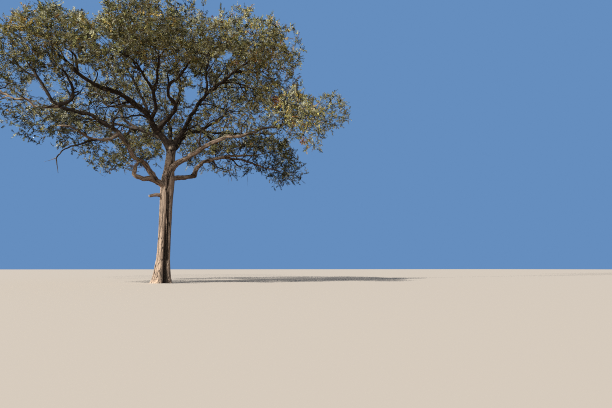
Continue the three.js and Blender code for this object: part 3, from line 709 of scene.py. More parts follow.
def length_along(points):
    """The length of the line up to each of its points."""
    return np.concatenate([[0], np.cumsum(np.linalg.norm(np.diff(points, axis=0), axis=1))])


def evenly(points, spacing):
    """The same line with its points about one spacing apart."""
    length = length_along(points)
    count = max(2, int(round(length[-1] / spacing)) + 1)
    marks = np.linspace(0, length[-1], count)
    return np.stack([np.interp(marks, length, points[:, axis]) for axis in range(3)], axis=1)


def line_through(corners):
    """Smooth line through corners, as points at even steps: a centripetal Catmull-Rom curve."""
    corners = np.array(corners, float)
    before = 2 * corners[0] - corners[1]
    after = 2 * corners[-1] - corners[-2]
    held = np.vstack([before, corners, after])
    fine = [corners[:1]]
    for a, b, c, d in zip(held, held[1:], held[2:], held[3:]):
        knots = np.cumsum([0] + [math.sqrt(np.linalg.norm(q - p)) for p, q in ((a, b), (b, c), (c, d))])
        t = np.linspace(knots[1], knots[2], BEND_POINTS)[1:, None]
        ab = a + (b - a) * (t - knots[0]) / (knots[1] - knots[0])
        bc = b + (c - b) * (t - knots[1]) / (knots[2] - knots[1])
        cd = c + (d - c) * (t - knots[2]) / (knots[3] - knots[2])
        abc = ab + (bc - ab) * (t - knots[0]) / (knots[2] - knots[0])
        bcd = bc + (cd - bc) * (t - knots[1]) / (knots[3] - knots[1])
        fine.append(abc + (bcd - abc) * (t - knots[1]) / (knots[2] - knots[1]))
    return evenly(np.vstack(fine), LINE_STEP)


def wandering(points, crooks, seed):
    """The line with crooks of its own, growing from none at its foot."""
    along = length_along(points)
    shift = np.zeros_like(points)
    for pace, reach in crooks:
        places = [Vector((pace * s, CROOK_SHIFT * seed, pace)) for s in along]
        shift += reach * np.array([noise.noise_vector(place) for place in places])
    return points + shift * smooth_step(0, CROOKS_START, along)[:, None]


def limb_lines():
    """Each limb's points, from its parent's middle to its tip."""
    lines = {"trunk": line_through(TRUNK_LINE)}
    for seed, (name, parent, start, ends, bends) in enumerate(BOUGHS + SIDE_LIMBS):
        carrier = lines[parent]
        place = start * (len(carrier) - 1)
        corner = [np.interp(place, np.arange(len(carrier)), carrier[:, axis]) for axis in range(3)]
        lines[name] = wandering(line_through([corner, *bends]), CROOKS, seed)
    return lines


def limbs_in_view(lines):
    """Pixels, distance, half width in pixels and share of growth kept at places along the seen limbs."""
    found = []
    for name, parent, start, (foot, tip), bends in BOUGHS + SIDE_LIMBS:
        if name not in SEEN_LIMBS:
            continue
        points = lines[name][::SEEN_STEPS]
        part = np.linspace(0, 1, len(points))
        across, down, depth = pixels_of(points)
        half = (foot + (tip - foot) * part) / 2 * FOCAL_PIXELS / depth + SEEN_MARGIN
        kept = SEEN_SHARE + (1 - SEEN_SHARE) * smooth_step(HALF_SEEN.get(name, SEEN_PART), 1, part)
        found.append(np.stack([across, down, depth, half, kept]))
    return np.hstack(found)


limb_curves = limb_lines()
seen_limbs = limbs_in_view(limb_curves)


def share_in(spaces, across, down):
    """The share of the growth that stays in some spaces of the photograph, 1 elsewhere."""
    share = np.ones(len(across))
    for middle, height, half_width, half_height, kept in spaces:
        aside = (across - middle) / half_width
        below = (down - height) / half_height
        turn = np.arctan2(below, aside)
        edge = 1
        for (waves, swell), shift in zip(EDGE_WAVES, (middle, height)):
            edge = edge + swell * np.sin(waves * turn + shift)
        inside = aside ** 2 + below ** 2 < edge
        share[inside] = np.minimum(share[inside], kept)
    return share


def branches_along(parents, kind, seed):
    """Crooked side branches along some lines, by a seeded rule: each one's line, the diameter at its foot,
    and its sides."""
    start, spacing, lengths, girths, sides, step = kind
    rng = np.random.default_rng(seed)
    branches = {}
    for name, points in parents.items():
        count = int(length_along(points)[-1] * (1 - start) / spacing)
        for number in range(count):
            part = start + (1 - start) * (number + rng.random()) / count
            place = min(int(part * len(points)), len(points) - 2)
            along = unit(points[place + 1] - points[place - 1])
            aside = np.cross(along, rng.normal(0, 1, 3))
            aside = unit(aside + (0, 0, BRANCH_LIFT * abs(aside[2])))
            angle = rng.uniform(*BRANCH_ANGLES)
            way = along * math.cos(angle) + aside * math.sin(angle)
            length = rng.uniform(*lengths)
            marks = np.arange(0, length, step)[:, None]
            curl = rng.normal(0, BRANCH_CURL, 3) + (0, 0, BRANCH_RISE * BRANCH_CURL)
            curve = points[place] + way * marks + curl * marks ** 2
            line = wandering(curve, BRANCH_CROOKS, rng.random() * BRANCH_PATTERNS)
            inside = inside_box(line).all() and line[:, 2].min() > BRANCH_FLOOR
            draw = rng.random()
            girth = rng.uniform(*girths)
            across, down, _ = pixels_of(line)
            if inside and draw < share_in(SKY_SPACES, across, down).min():
                branches[name + "_" + str(number)] = (line, girth, sides)
    return branches


def all_branches(lines):
    """The side branches of every kind, and the limbs' lines together with the largest branches'."""
    parents = {row[0]: lines[row[0]] for row in BOUGHS}
    limbs = dict(lines)
    branches = []
    for order, kind in enumerate(BRANCH_KINDS):
        fresh = branches_along(parents, kind, BRANCH_SEED + order)
        parents = {name: branch[0] for name, branch in fresh.items()}
        branches.extend(fresh.values())
        if order == 0:
            limbs.update(parents)
    return branches, limbs


def axes_along(points):
    """Two directions across the line at each point, carried along it without twist."""
    tangents = unit(np.gradient(points, axis=0))
    # Any direction serves that the line doesn't start along
    first = np.cross(tangents[0], (0, 1, 0) if abs(tangents[0][1]) < 0.9 else (1, 0, 0))
    across = [first / np.linalg.norm(first)]
    for tangent in tangents[1:]:
        turned = across[-1] - tangent * (across[-1] @ tangent)
        across.append(turned / np.linalg.norm(turned))
    across = np.array(across)
    return across, np.cross(tangents, across)


# Bark relief

def ring_angles(sides):
    """The angles of a ring's points."""
    return np.linspace(0, 2 * math.pi, sides, endpoint=False)


def fissure_depth(x, y, z, cycles):
    """0 on the plates of the bark and 1 in the bottom of its fissures."""
    wander = FISSURE_WANDER * noise.noise(Vector((WANDER_ROUND * x, WANDER_ROUND * y, WANDER_ALONG * z)))
    place = Vector(((x + wander) * cycles, (y + wander) * cycles, z * cycles * FISSURE_STRETCH))
    cross_place = Vector((x * cycles * CROSS_ROUND, y * cycles * CROSS_ROUND,
                          z * cycles * CROSS_ALONG + CROSS_START))
    fissure = math.exp(-(noise.noise(place) / FISSURE_WIDTH) ** 2)
    cross_crack = math.exp(-(noise.noise(cross_place) / CROSS_WIDTH) ** 2)
    return max(fissure, CROSS_DEPTH * cross_crack)


def tube_faces(rings, sides):
    """Triangles between rings of points that follow one another."""
    i, j = np.meshgrid(np.arange(rings - 1), np.arange(sides), indexing="ij")
    here = i * sides + j
    beside = i * sides + (j + 1) % sides
    lower = np.stack([here, beside, beside + sides], axis=-1).reshape(-1, 3)
    upper = np.stack([here, beside + sides, here + sides], axis=-1).reshape(-1, 3)
    return np.vstack([lower, upper])


def bark_tube(points, radii, cycles, depth, groove_shade=0.0):
    """Limb surface round a line, with fissures cut into it and a pointed tip. radii has a row of radii for
    each point, and the last argument is the painted shade that the trunk's grooves add. Returns the
    surface's points and triangles, and the bark's own coordinates and painted shade at each point."""
    sides = radii.shape[1]
    angles = ring_angles(sides)
    along = length_along(points)
    across, upright = axes_along(points)
    mean = radii.mean(axis=1)
    round_x = mean[:, None] * np.cos(angles)
    round_y = mean[:, None] * np.sin(angles)
    shown = np.empty_like(radii)
    for i, height in enumerate(along):
        for j in range(sides):
            shown[i, j] = fissure_depth(round_x[i, j], round_y[i, j], height, cycles)
    cut = radii - depth * shown
    ring = (cut[:, :, None] * np.cos(angles)[None, :, None] * across[:, None, :]
            + cut[:, :, None] * np.sin(angles)[None, :, None] * upright[:, None, :])
    surface = (points[:, None, :] + ring).reshape(-1, 3)
    height = np.repeat(along[:, None], sides, axis=1)
    place = np.stack([round_x, round_y, height], axis=-1).reshape(-1, 3)
    # Painted shade in the bottoms of fissures and in the grooves
    hollow_shade = np.maximum(shown, groove_shade).ravel()
    tip = len(surface)
    last = tip - sides
    surface = np.vstack([surface, points[-1] + unit(points[-1] - points[-2]) * mean[-1] * POINTED_END])
    place = np.vstack([place, place[-1]])
    hollow_shade = np.append(hollow_shade, 0)
    cap = [(last + j, last + (j + 1) % sides, tip) for j in range(sides)]
    return surface, np.vstack([tube_faces(len(points), sides), cap]), place, hollow_shade


def bark_object(name, parts, material, limb=None):
    """One object of several limb surfaces, tan up to the limb's own height and in painted shade above it.
    Its bark_place is the bark's own coordinates, and its bark_look holds the painted shade of the fissures
    and grooves, how much of the bark is free of the painted shade of high limbs, and the scars and painted
    highlights."""
    points, faces, places, hollow_shades = [], [], [], []
    first = 0
    for surface, triangles, place, hollow_shade in parts:
        points.append(surface)
        faces.append(triangles + first)
        places.append(place)
        hollow_shades.append(hollow_shade)
        first += len(surface)
    points = np.vstack(points)
    # Painted shade: above the limb's heights the bark keeps little of its plates' colour
    unshaded = 1 - (1 - LEAST_UNSHADED) * smooth_step(*SHADE_LIMBS.get(limb, SHADE_HEIGHTS), points[:, 2])
    # Pale scars of bare wood, and painted highlights on the outer left limbs
    scar_and_highlight = np.zeros(len(points))
    for middle, half in SCARS_AND_HIGHLIGHTS:
        apart = np.linalg.norm(points - middle, axis=1)
        scar_and_highlight = np.maximum(scar_and_highlight, np.exp(-(apart / half) ** SCAR_AND_HIGHLIGHT_EDGE))
    look = np.stack([np.concatenate(hollow_shades), unshaded, scar_and_highlight], axis=1)
    made = mesh_object(name, points, np.vstack(faces), smooth=True)
    for label, values in (("bark_place", np.vstack(places)), ("bark_look", look)):
        held = made.data.attributes.new(label, "FLOAT_VECTOR", "POINT")
        held.data.foreach_set("vector", values.astype(np.float32).ravel())
    made.data.materials.append(material)
    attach(made, "root")
    return made


def degrees_apart(angle, other):
    """How far an angle lies from another, from -180 to 180 degrees."""
    return (angle - other + 180) % 360 - 180


def trunk_shape(along, angles):
    """The trunk's radius at each height and angle, with its toes and grooves, and the painted shade in
    the grooves."""
    mean = np.interp(along, TRUNK_HEIGHTS, TRUNK_GIRTHS)[:, None] / 2
    # The rings start at the left and run round by the front
    facing = -90 + np.degrees(angles)[None, :]
    radii = np.repeat(mean * SMOOTH_TRUNK, len(angles), axis=1)
    for direction, swell in TOES:
        spread = np.exp(-(degrees_apart(facing, direction) / TOE_WIDTH) ** 2)
        radii += swell * spread * np.exp(-along / TOE_HEIGHT)[:, None]
    hollow = np.zeros_like(radii)
    for direction, depth, width, low, high in GROOVES:
        wander = np.array([noise.noise(Vector((GROOVE_PACE * s, direction, 0))) for s in along])
        middle = direction + (GROOVE_TWIST * along + GROOVE_WANDER * wander)[:, None]
        fade = smooth_step(low, low + GROOVE_START, along)
        fade *= 1 - smooth_step(high - GROOVE_END, high, along)
        swell = 1 + GROOVE_DEEPENING * np.exp(-along / DEEPENING_HEIGHT)
        widths = width * (1 + GROOVE_OPENING * np.exp(-along / OPENING_HEIGHT))[:, None]
        spread = np.exp(-(degrees_apart(facing, middle) / widths) ** 2)
        hollow = np.maximum(hollow, depth * spread * (fade * swell)[:, None])
    # Painted shade: the deeper the groove, the darker its colour
    return radii - hollow, np.clip(hollow / GROOVE_SHADE_DEPTH, 0, 1) ** 2


def tapered(along, sides, ends, closing):
    """Round radii that go from one end's diameter to the other's, widened at the foot and drawn in at
    the tip."""
    foot, tip = ends
    part = along / along[-1]
    radii = (foot + (tip - foot) * part) / 2 * (1 + COLLAR * np.exp(-along / COLLAR_LENGTH))
    radii *= 1 - closing * smooth_step(along[-1] - TIP_TAPER, along[-1], along)
    return np.repeat(radii[:, None], sides, axis=1)


def knotted(along, sides, ends, closing, seed):
    """A bough's radii: its taper, its widened foot, knots and hollows."""
    radii = tapered(along, sides, ends, closing)
    for i, s in enumerate(along):
        for j, angle in enumerate(ring_angles(sides)):
            for pace, swell in KNOTS:
                place = Vector((math.cos(angle) + KNOT_SHIFT * seed, math.sin(angle), pace * s))
                radii[i, j] *= 1 + swell * noise.noise(place)
    return radii


def make_trunk(material):
    """The trunk with its dead stub, in the place of its node."""
    points = evenly(line_through(TRUNK_LINE), TRUNK_RING)
    radii, groove_shade = trunk_shape(length_along(points), ring_angles(TRUNK_SIDES))
    column = bark_tube(points, radii, TRUNK_FISSURES, TRUNK_FISSURE_DEPTH, groove_shade)
    stub_points = evenly(line_through(STUB_LINE), STUB_RING)
    stub_radii = knotted(length_along(stub_points), STUB_SIDES, STUB_GIRTH, 0, 0)
    stub = bark_tube(stub_points, stub_radii, BOUGH_FISSURES, BOUGH_FISSURE_DEPTH * stub_radii)
    made = bark_object("bark_trunk", [column, stub], material, "trunk")
    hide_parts("trunk")


def make_limbs(lines, material):
    """Each bough in the place of its node, and the side limbs."""
    nodes = {row[0] for row in BOUGHS}
    for seed, (name, parent, start, ends, bends) in enumerate(BOUGHS + SIDE_LIMBS):
        points = evenly(lines[name], BOUGH_RING)
        sides = FEWEST_SIDES + round(SIDES_PER_METRE * ends[0])
        closing = 0 if name in THICK_TIPS else TIP_CLOSING
        radii = knotted(length_along(points), sides, ends, closing, seed)
        tube = bark_tube(points, radii, BOUGH_FISSURES, BOUGH_FISSURE_DEPTH * radii)
        made = bark_object("bark_" + name, [tube], material, name)
        if name in nodes:
            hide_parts(name)


def make_branches(branches, material):
    """The side branches of every kind, joined into one piece for each group round the tree."""
    groups = {"back": [], "left": [], "right": [], "middle": []}
    for line, girth, sides in branches:
        along = length_along(line)
        radii = girth / 2 * (1 - (1 - BRANCH_TIP) * along / along[-1])
        radii = np.repeat(radii[:, None], sides, axis=1)
        tube = bark_tube(line, radii, BOUGH_FISSURES, BOUGH_FISSURE_DEPTH * radii)
        groups[group_round_tree(line[-1])].append(tube)
    for group, tubes in groups.items():
        made = bark_object("branches_" + group, tubes, material)


# Where twigs grow

def tree_of(nodes):
    """Search tree of the faces of some frame nodes."""
    corners, faces = [], []
    for name in nodes:
        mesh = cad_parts[name].data
        first = len(corners)
        corners.extend(v.co for v in mesh.vertices)
        faces.extend([first + i for i in p.vertices] for p in mesh.polygons)
    return BVHTree.FromPolygons(corners, faces)


def beyond(tree, point):
    """How far a point lies outside the solids of the tree, less than 0 inside them."""
    near, normal, _, distance = tree.find_nearest(Vector(point))
    return distance if (Vector(point) - near).dot(normal) > 0 else -distance


def growing_share(points):
    """The share of the growth that stays at each point, less in the spaces of the crown and in front of
    the seen limbs."""
    across, down, depth = pixels_of(points)
    limb_across, limb_down, limb_depth, half, kept = seen_limbs
    apart = np.hypot(across[:, None] - limb_across, down[:, None] - limb_down)
    hiding = (apart < half) & (depth[:, None] < limb_depth - HIDING_DEPTH)
    return np.minimum(np.where(hiding, kept, 1).min(axis=1), share_in(SKY_SPACES, across, down))


def clump_at(point):
    """The pattern of the clumps at a point."""
    return sum(strength * noise.noise(Vector(point) * pace) for pace, strength in CLUMPS)


def group_round_tree(point):
    """Which of the four groups round the tree a point belongs to."""
    if point[1] > GROUP_BACK:
        return "back"
    if point[0] < GROUP_LEFT:
        return "left"
    return "right" if point[0] > GROUP_RIGHT else "middle"


def places_in_mass(name, fullness, rng):
    """Places that the mass's twigs grow towards, fuller in its outer layer and in clumps."""
    tree = tree_of([name])
    low, high = (np.array(corner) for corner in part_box(name))
    above, below = MASS_REACH.get(name, (FRINGE, FRINGE))
    # The lowest quarter of the mass may grow out below, and the highest above
    quarter = (high[2] - low[2]) / 4
    heights = low[2] + quarter, high[2] - quarter
    low, high = low - (FRINGE, FRINGE, below), high + (FRINGE, FRINGE, above)
    count = int(np.prod(high - low) * PLACES_PER_CUBE)
    trials = rng.uniform(low, high, (count, 3))
    draws = rng.random(count)
    share = growing_share(trials)
    kept = []
    for point, draw, part in zip(trials, draws, share):
        out = beyond(tree, point)
        heart = HEART_FULLNESS if out < -LEAFY_LAYER else 1
        fringe = below if point[2] < heights[0] else above if point[2] > heights[1] else FRINGE
        if out > fringe * draw or draw > heart * part:
            continue
        if clump_at(point) > CLUMP_EDGE + CLUMP_THINNING * (1 - fullness):
            kept.append(point)
    return np.array(kept)


def loose_places(lines, rng):
    """Places near the open stretches of the limbs, outside every mass, and in the tufts."""
    masses = tree_of(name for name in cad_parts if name.startswith("foliage_"))
    trials = []
    for name, points in lines.items():
        if name == "trunk":
            continue
        count = int(len(points) * LINE_STEP * LOOSE_PER_METRE)
        along = rng.integers(len(points) // LOOSE_BARE_FOOT, len(points), count)
        reach = rng.uniform(*LOOSE_REACH, (count, 1))
        trials.append(points[along] + unit(rng.normal(0, 1, (count, 3)) + (0, 0, LOOSE_LIFT)) * reach)
    trials = np.vstack(trials)
    wanted = inside_box(trials) & (trials[:, 2] > LOOSE_FLOOR)
    wanted &= rng.random(len(trials)) < growing_share(trials)
    kept = [point for point in trials[wanted] if beyond(masses, point) > LOOSE_CLEARANCE]
    for middle, half, count in TUFTS:
        kept.extend(middle + rng.normal(0, half / 2, (count, 3)))
    return np.array(kept)


def footholds(lines, tree=None):
    """Points of the limbs from which twigs grow, or only those in the search tree's solids or near."""
    found = []
    for name, points in lines.items():
        if name == "trunk":
            continue
        marks = np.arange(len(points) - 1, len(points) // BARE_FOOT, -FOOTHOLD_STEPS)
        found.extend(points[i] for i in marks if tree is None or beyond(tree, points[i]) < FOOTHOLD)
    return np.array(found)


# Growth of twigs

def grow(feet, places, rng):
    """Branching growth from the feet towards the places. Each round, every point that is the nearest to
    some places takes one step towards them. Returns the points and each one's parent, -1 for a foot."""
    points = feet.copy()
    parents = np.full(len(feet), -1)
    children = np.zeros(len(feet), int)
    gap = np.linalg.norm(places[:, None] - points[None], axis=2)
    nearest = gap.argmin(axis=1)
    distance = gap.min(axis=1)
    waiting = distance > REACHED
    for _ in range(GROWTH_ROUNDS):
        free = waiting & (children[nearest] < MOST_CHILDREN)
        if not free.any():
            break
        pull = np.zeros_like(points)
        np.add.at(pull, nearest[free], unit(places[free] - points[nearest[free]]))
        growing = np.unique(nearest[free])
        step = unit(pull[growing]) + rng.normal(0, STRAY, (len(growing), 3))
        fresh = points[growing] + unit(step) * GROWTH_STEP
        first = len(points)
        points = np.vstack([points, fresh])
        parents = np.concatenate([parents, growing])
        children = np.concatenate([children, np.zeros(len(fresh), int)])
        children[growing] += 1
        gap = np.linalg.norm(places[:, None] - fresh[None], axis=2)
        closest = gap.min(axis=1)
        better = closest < distance
        nearest[better] = first + gap.argmin(axis=1)[better]
        distance[better] = closest[better]
        waiting &= distance > REACHED
    return points, parents


def loads_of(parents):
    """How many tips each point carries."""
    loads = np.zeros(len(parents), int)
    for i in range(len(parents) - 1, -1, -1):
        loads[i] = max(loads[i], 1)
        if parents[i] >= 0:
            loads[parents[i]] += loads[i]
    return loads


def twig_mesh(points, parents, loads):
    """Tubes along the growth. A point's heaviest child carries its tube on, and others start their own.
    Returns their points and triangles, and the tint of each triangle."""
    radii = np.minimum(TIP_RADIUS * loads ** RADIUS_POWER, MOST_RADIUS)
    heaviest = {}
    for i, parent in enumerate(parents):
        if parent >= 0 and (parent not in heaviest or loads[i] > loads[heaviest[parent]]):
            heaviest[parent] = i
    corners, faces, tints, ring_of, across_of = [], [], [], {}, {}

    def add_ring(centre, radius, direction, across, sides):
        first = len(corners)
        across = (across - direction * across.dot(direction)).normalized()
        upright = direction.cross(across)
        for k in range(sides):
            turn = 2 * math.pi * k / sides
            corners.append(centre + (across * math.cos(turn) + upright * math.sin(turn)) * radius)
        return first, across

    for i, parent in enumerate(parents):
        if parent < 0:
            continue
        start, end = Vector(points[parent]), Vector(points[i])
        direction = (end - start).normalized()
        sides = THICK_SIDES if radii[i] > THICK_TWIG else THIN_SIDES
        ring = ring_of.get(parent)
        if ring is None or heaviest[parent] != i or ring[1] != sides:
            side = across_of.get(parent, RING_START)
            foot, across = add_ring(start, radii[i] * TWIG_COLLAR, direction, side, sides)
        else:
            foot, across = ring[0], across_of[parent]
        if i in heaviest:
            head, across = add_ring(end, radii[i], direction, across, sides)
            ring_of[i] = (head, sides)
            across_of[i] = across
            for k in range(sides):
                after = (k + 1) % sides
                faces.append((foot + k, foot + after, head + after))
                faces.append((foot + k, head + after, head + k))
        else:
            head = len(corners)
            corners.append(end)
            faces.extend((foot + k, foot + (k + 1) % sides, head) for k in range(sides))
        tint = 0 if radii[i] > THICK_TWIG else 1 if radii[i] > THIN_TWIG else 2
        tints.extend([tint] * (len(faces) - len(tints)))
    return np.array(corners), np.array(faces), np.array(tints)


# Sprays of leaves

def spray_feet(points, parents, loads, fullness, rng):
    """Where the sprays stand, and the way each one points."""
    bearing = np.flatnonzero((parents >= 0) & (loads <= BEARING_LOAD))
    count = rng.poisson(SPRAYS_PER_TWIG * fullness, len(bearing))
    count[loads[bearing] == 1] += 1
    chosen = np.repeat(bearing, count)
    twig = points[chosen] - points[parents[chosen]]
    feet = points[chosen] - twig * rng.random((len(chosen), 1)) * BEARING_PART
    ways = unit(twig) * SPRAY_FORWARD + unit(rng.normal(0, 1, (len(chosen), 3))) * SPRAY_STRAY
    ways[:, 2] += SPRAY_RISE
    ways = unit(ways)
    middles = feet + ways * SPRAY_LENGTH[0] * SPRAY_MIDDLE
    across, down, _ = pixels_of(middles)
    kept = rng.random(len(feet)) < growing_share(middles) * share_in(BARE_SPACES, across, down)
    return feet[kept], ways[kept]


def spray_mesh(feet, ways, rng):
    """Stems and leaves of all the sprays: a stem is a thin cone, and a leaf two triangles folded on its
    midrib. Leaves stand on both sides of the stem by turns, and each spray lies in a plane of its own."""
    count = len(feet)
    length = rng.uniform(*SPRAY_LENGTH, (count, 1))
    level = unit(rng.normal(0, SPRAY_TILT, (count, 3)) + (0, 0, 1))
    sideways = unit(np.cross(ways, level))
    level = np.cross(sideways, ways)
    tips = feet + ways * length

    turn = 2 * math.pi * np.arange(STEM_SIDES) / STEM_SIDES
    ring = sideways[:, None] * np.cos(turn)[None, :, None] + level[:, None] * np.sin(turn)[None, :, None]
    stem_points = np.concatenate([feet[:, None] + ring * TIP_RADIUS * STEM_WIDTH, tips[:, None]], axis=1)
    cone = np.array([(side, (side + 1) % STEM_SIDES, STEM_SIDES) for side in range(STEM_SIDES)])
    stem_faces = cone[None] + (STEM_SIDES + 1) * np.arange(count)[:, None, None]

    number = np.arange(SPRAY_LEAVES)
    part = (number + FIRST_LEAF) / SPRAY_LEAVES
    hand = np.where(number % 2 == 0, 1.0, -1.0)
    shape = (count, SPRAY_LEAVES)
    angle = LEAF_ANGLE + rng.normal(0, ANGLE_SPREAD, shape)
    angle[:, -1] = rng.normal(0, LAST_LEAF_SPREAD, count)
    base = feet[:, None] + (ways * length)[:, None] * part[None, :, None]
    axis = (ways[:, None] * np.cos(angle)[..., None]
            + sideways[:, None] * (hand[None] * np.sin(angle))[..., None]
            + rng.normal(0, LEAF_STRAY, (*shape, 3)))
    axis[..., 2] -= LEAF_DROOP
    axis = unit(axis)
    face = unit(level[:, None] + rng.normal(0, LEAF_TILT, (*shape, 3)))
    wide = unit(np.cross(axis, face))
    face = np.cross(wide, axis)
    size = LEAF_LENGTH * rng.uniform(*LEAF_SIZES, shape)[..., None]
    middle = base + axis * size * LEAF_WIDEST
    edge = wide * size * LEAF_WIDTH / 2
    lift = face * size * LEAF_FOLD
    leaf_points = np.stack([base, middle + edge + lift, base + axis * size, middle - edge + lift], axis=2)
    leaf_numbers = np.arange(count * SPRAY_LEAVES)
    leaf_faces = np.array(LEAF_FACES)[None] + LEAF_CORNERS * leaf_numbers[:, None, None]
    return (stem_points.reshape(-1, 3), stem_faces.reshape(-1, 3),
            leaf_points.reshape(-1, 3), leaf_faces.reshape(-1, 3))


def tints_of(feet, yellow_and_light, shaded, rng):
    """Each spray's tint: dealt out by share, yellow in patches, painted shade in the deep tint, and dead
    brown in the clusters.
    """
    patch = np.array([noise.noise(Vector(foot) * PATCH_SCALE) for foot in feet])
    # Near some places more sprays turn yellow, painted light at the centre right, and more or fewer take
    # the painted shade tint
    for middle, radius, more_yellow_and_light, more_shade in TINT_PLACES:
        near = np.exp(-(np.linalg.norm(feet - middle, axis=1) / radius) ** 2)
        yellow_and_light = yellow_and_light + more_yellow_and_light * near
        shaded = shaded + more_shade * near
    turned = rng.random(len(feet)) < yellow_and_light + PATCH_CONTRAST * patch
    greens = rng.choice(len(LEAF_TINTS), len(feet), p=[row[2] for row in LEAF_TINTS])
    yellows = rng.choice(len(LEAF_TINTS), len(feet), p=[row[3] for row in LEAF_TINTS])
    tints = np.where(turned, yellows, greens)
    # Painted shade: a share of sprays takes the deep olive tint
    tints[rng.random(len(feet)) < shaded] = SHADE_TINT
    across, down, _ = pixels_of(feet)
    front = feet[:, 1] < FRONT_REACH
    for middle, height, half in DEAD_CLUSTERS:
        tints[front & (np.hypot(across - middle, down - height) < half)] = DEAD_TINT
    return tints


def make_growth(label, feet, places, look, materials, seed, node=None):
    """The twigs and leaves that grow from some feet towards some places, as two pieces."""
    fullness, yellow_and_light, shaded = look
    rng = np.random.default_rng(seed)
    points, parents = grow(feet, places, rng)
    loads = loads_of(parents)
    twig_points, twig_faces, twig_tints = twig_mesh(points, parents, loads)
    feet, ways = spray_feet(points, parents, loads, fullness, rng)
    stem_points, stem_faces, leaf_points, leaf_faces = spray_mesh(feet, ways, rng)
    wood = np.vstack([twig_points, stem_points])
    wood_faces = np.vstack([twig_faces, stem_faces + len(twig_points)])
    wood_tints = np.concatenate([twig_tints, np.full(len(stem_faces), len(TWIG_TINTS) - 1)])
    leaf_tints = np.repeat(tints_of(feet, yellow_and_light, shaded, rng), SPRAY_LEAVES * len(LEAF_FACES))
    twigs = mesh_object("twigs_" + label, wood, wood_faces, wood_tints, smooth=True)
    leaves = mesh_object("leaves_" + label, leaf_points, leaf_faces, leaf_tints)
    for piece, kind, slot in ((twigs, "twig", "bough_bark"), (leaves, "leaf", "foliage")):
        for material in materials[kind]:
            piece.data.materials.append(material)
        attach(piece, "root")
        if node:
            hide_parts(node)


def grow_masses(lines, materials):
    """Twigs and leaves in the place of each mass."""
    masses = sorted(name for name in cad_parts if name.startswith("foliage_"))
    for seed, name in enumerate(masses):
        look = MASS_LOOKS.get(name, USUAL_LOOK)
        places = places_in_mass(name, look[0], np.random.default_rng(MASS_PLACES_SEED + seed))
        feet = footholds(lines, tree_of([name]))
        make_growth(name.replace("foliage_", ""), feet, places, look, materials, seed, name)


def grow_loose(lines, materials):
    """Growth along the open limbs, in four groups round the tree."""
    places = loose_places(lines, np.random.default_rng(LOOSE_PLACES_SEED))
    feet = footholds(lines)
    groups = np.array([group_round_tree(place) for place in places])
    for seed, group in enumerate(sorted(set(groups))):
        near = places[groups == group]
        make_growth("loose_" + group, feet, near, LOOSE_LOOK, materials, LOOSE_GROWTH_SEED + seed)


# Materials

def new_node(tree, kind, **inputs):
    """A node with some inputs set, named with _ for spaces."""
    made = tree.nodes.new(kind)
    for name, value in inputs.items():
        made.inputs[name.replace("_", " ")].default_value = value
    return made


def noise_over(tree, place, **inputs):
    """A noise texture over a place, which is a socket."""
    made = new_node(tree, "ShaderNodeTexNoise", **inputs)
    tree.links.new(place, made.inputs["Vector"])
    return made


def ranged(tree, value, **inputs):
    """A value spread over another range, both of them sockets."""
    made = new_node(tree, "ShaderNodeMapRange", **inputs)
    tree.links.new(value, made.inputs["Value"])
    return made.outputs["Result"]


def blended(tree, factor, first, second):
    """A mix of two colours by a factor, all of them sockets."""
    made = tree.nodes.new("ShaderNodeMix")
    made.data_type = "RGBA"
    tree.links.new(factor, made.inputs[MIX_FACTOR])
    tree.links.new(first, made.inputs[MIX_FIRST])
    tree.links.new(second, made.inputs[MIX_SECOND])
    return made.outputs[MIX_RESULT]


def plain_material(name, colour, roughness, gloss):
    """One base colour, dealt out by spray or by twig."""
    material = bpy.data.materials.new(name)
    material.use_nodes = True
    shader = material.node_tree.nodes["Principled BSDF"]
    shader.inputs["Base Color"].default_value = (*colour, 1)
    shader.inputs["Roughness"].default_value = roughness
    shader.inputs["Specular IOR Level"].default_value = gloss
    return material


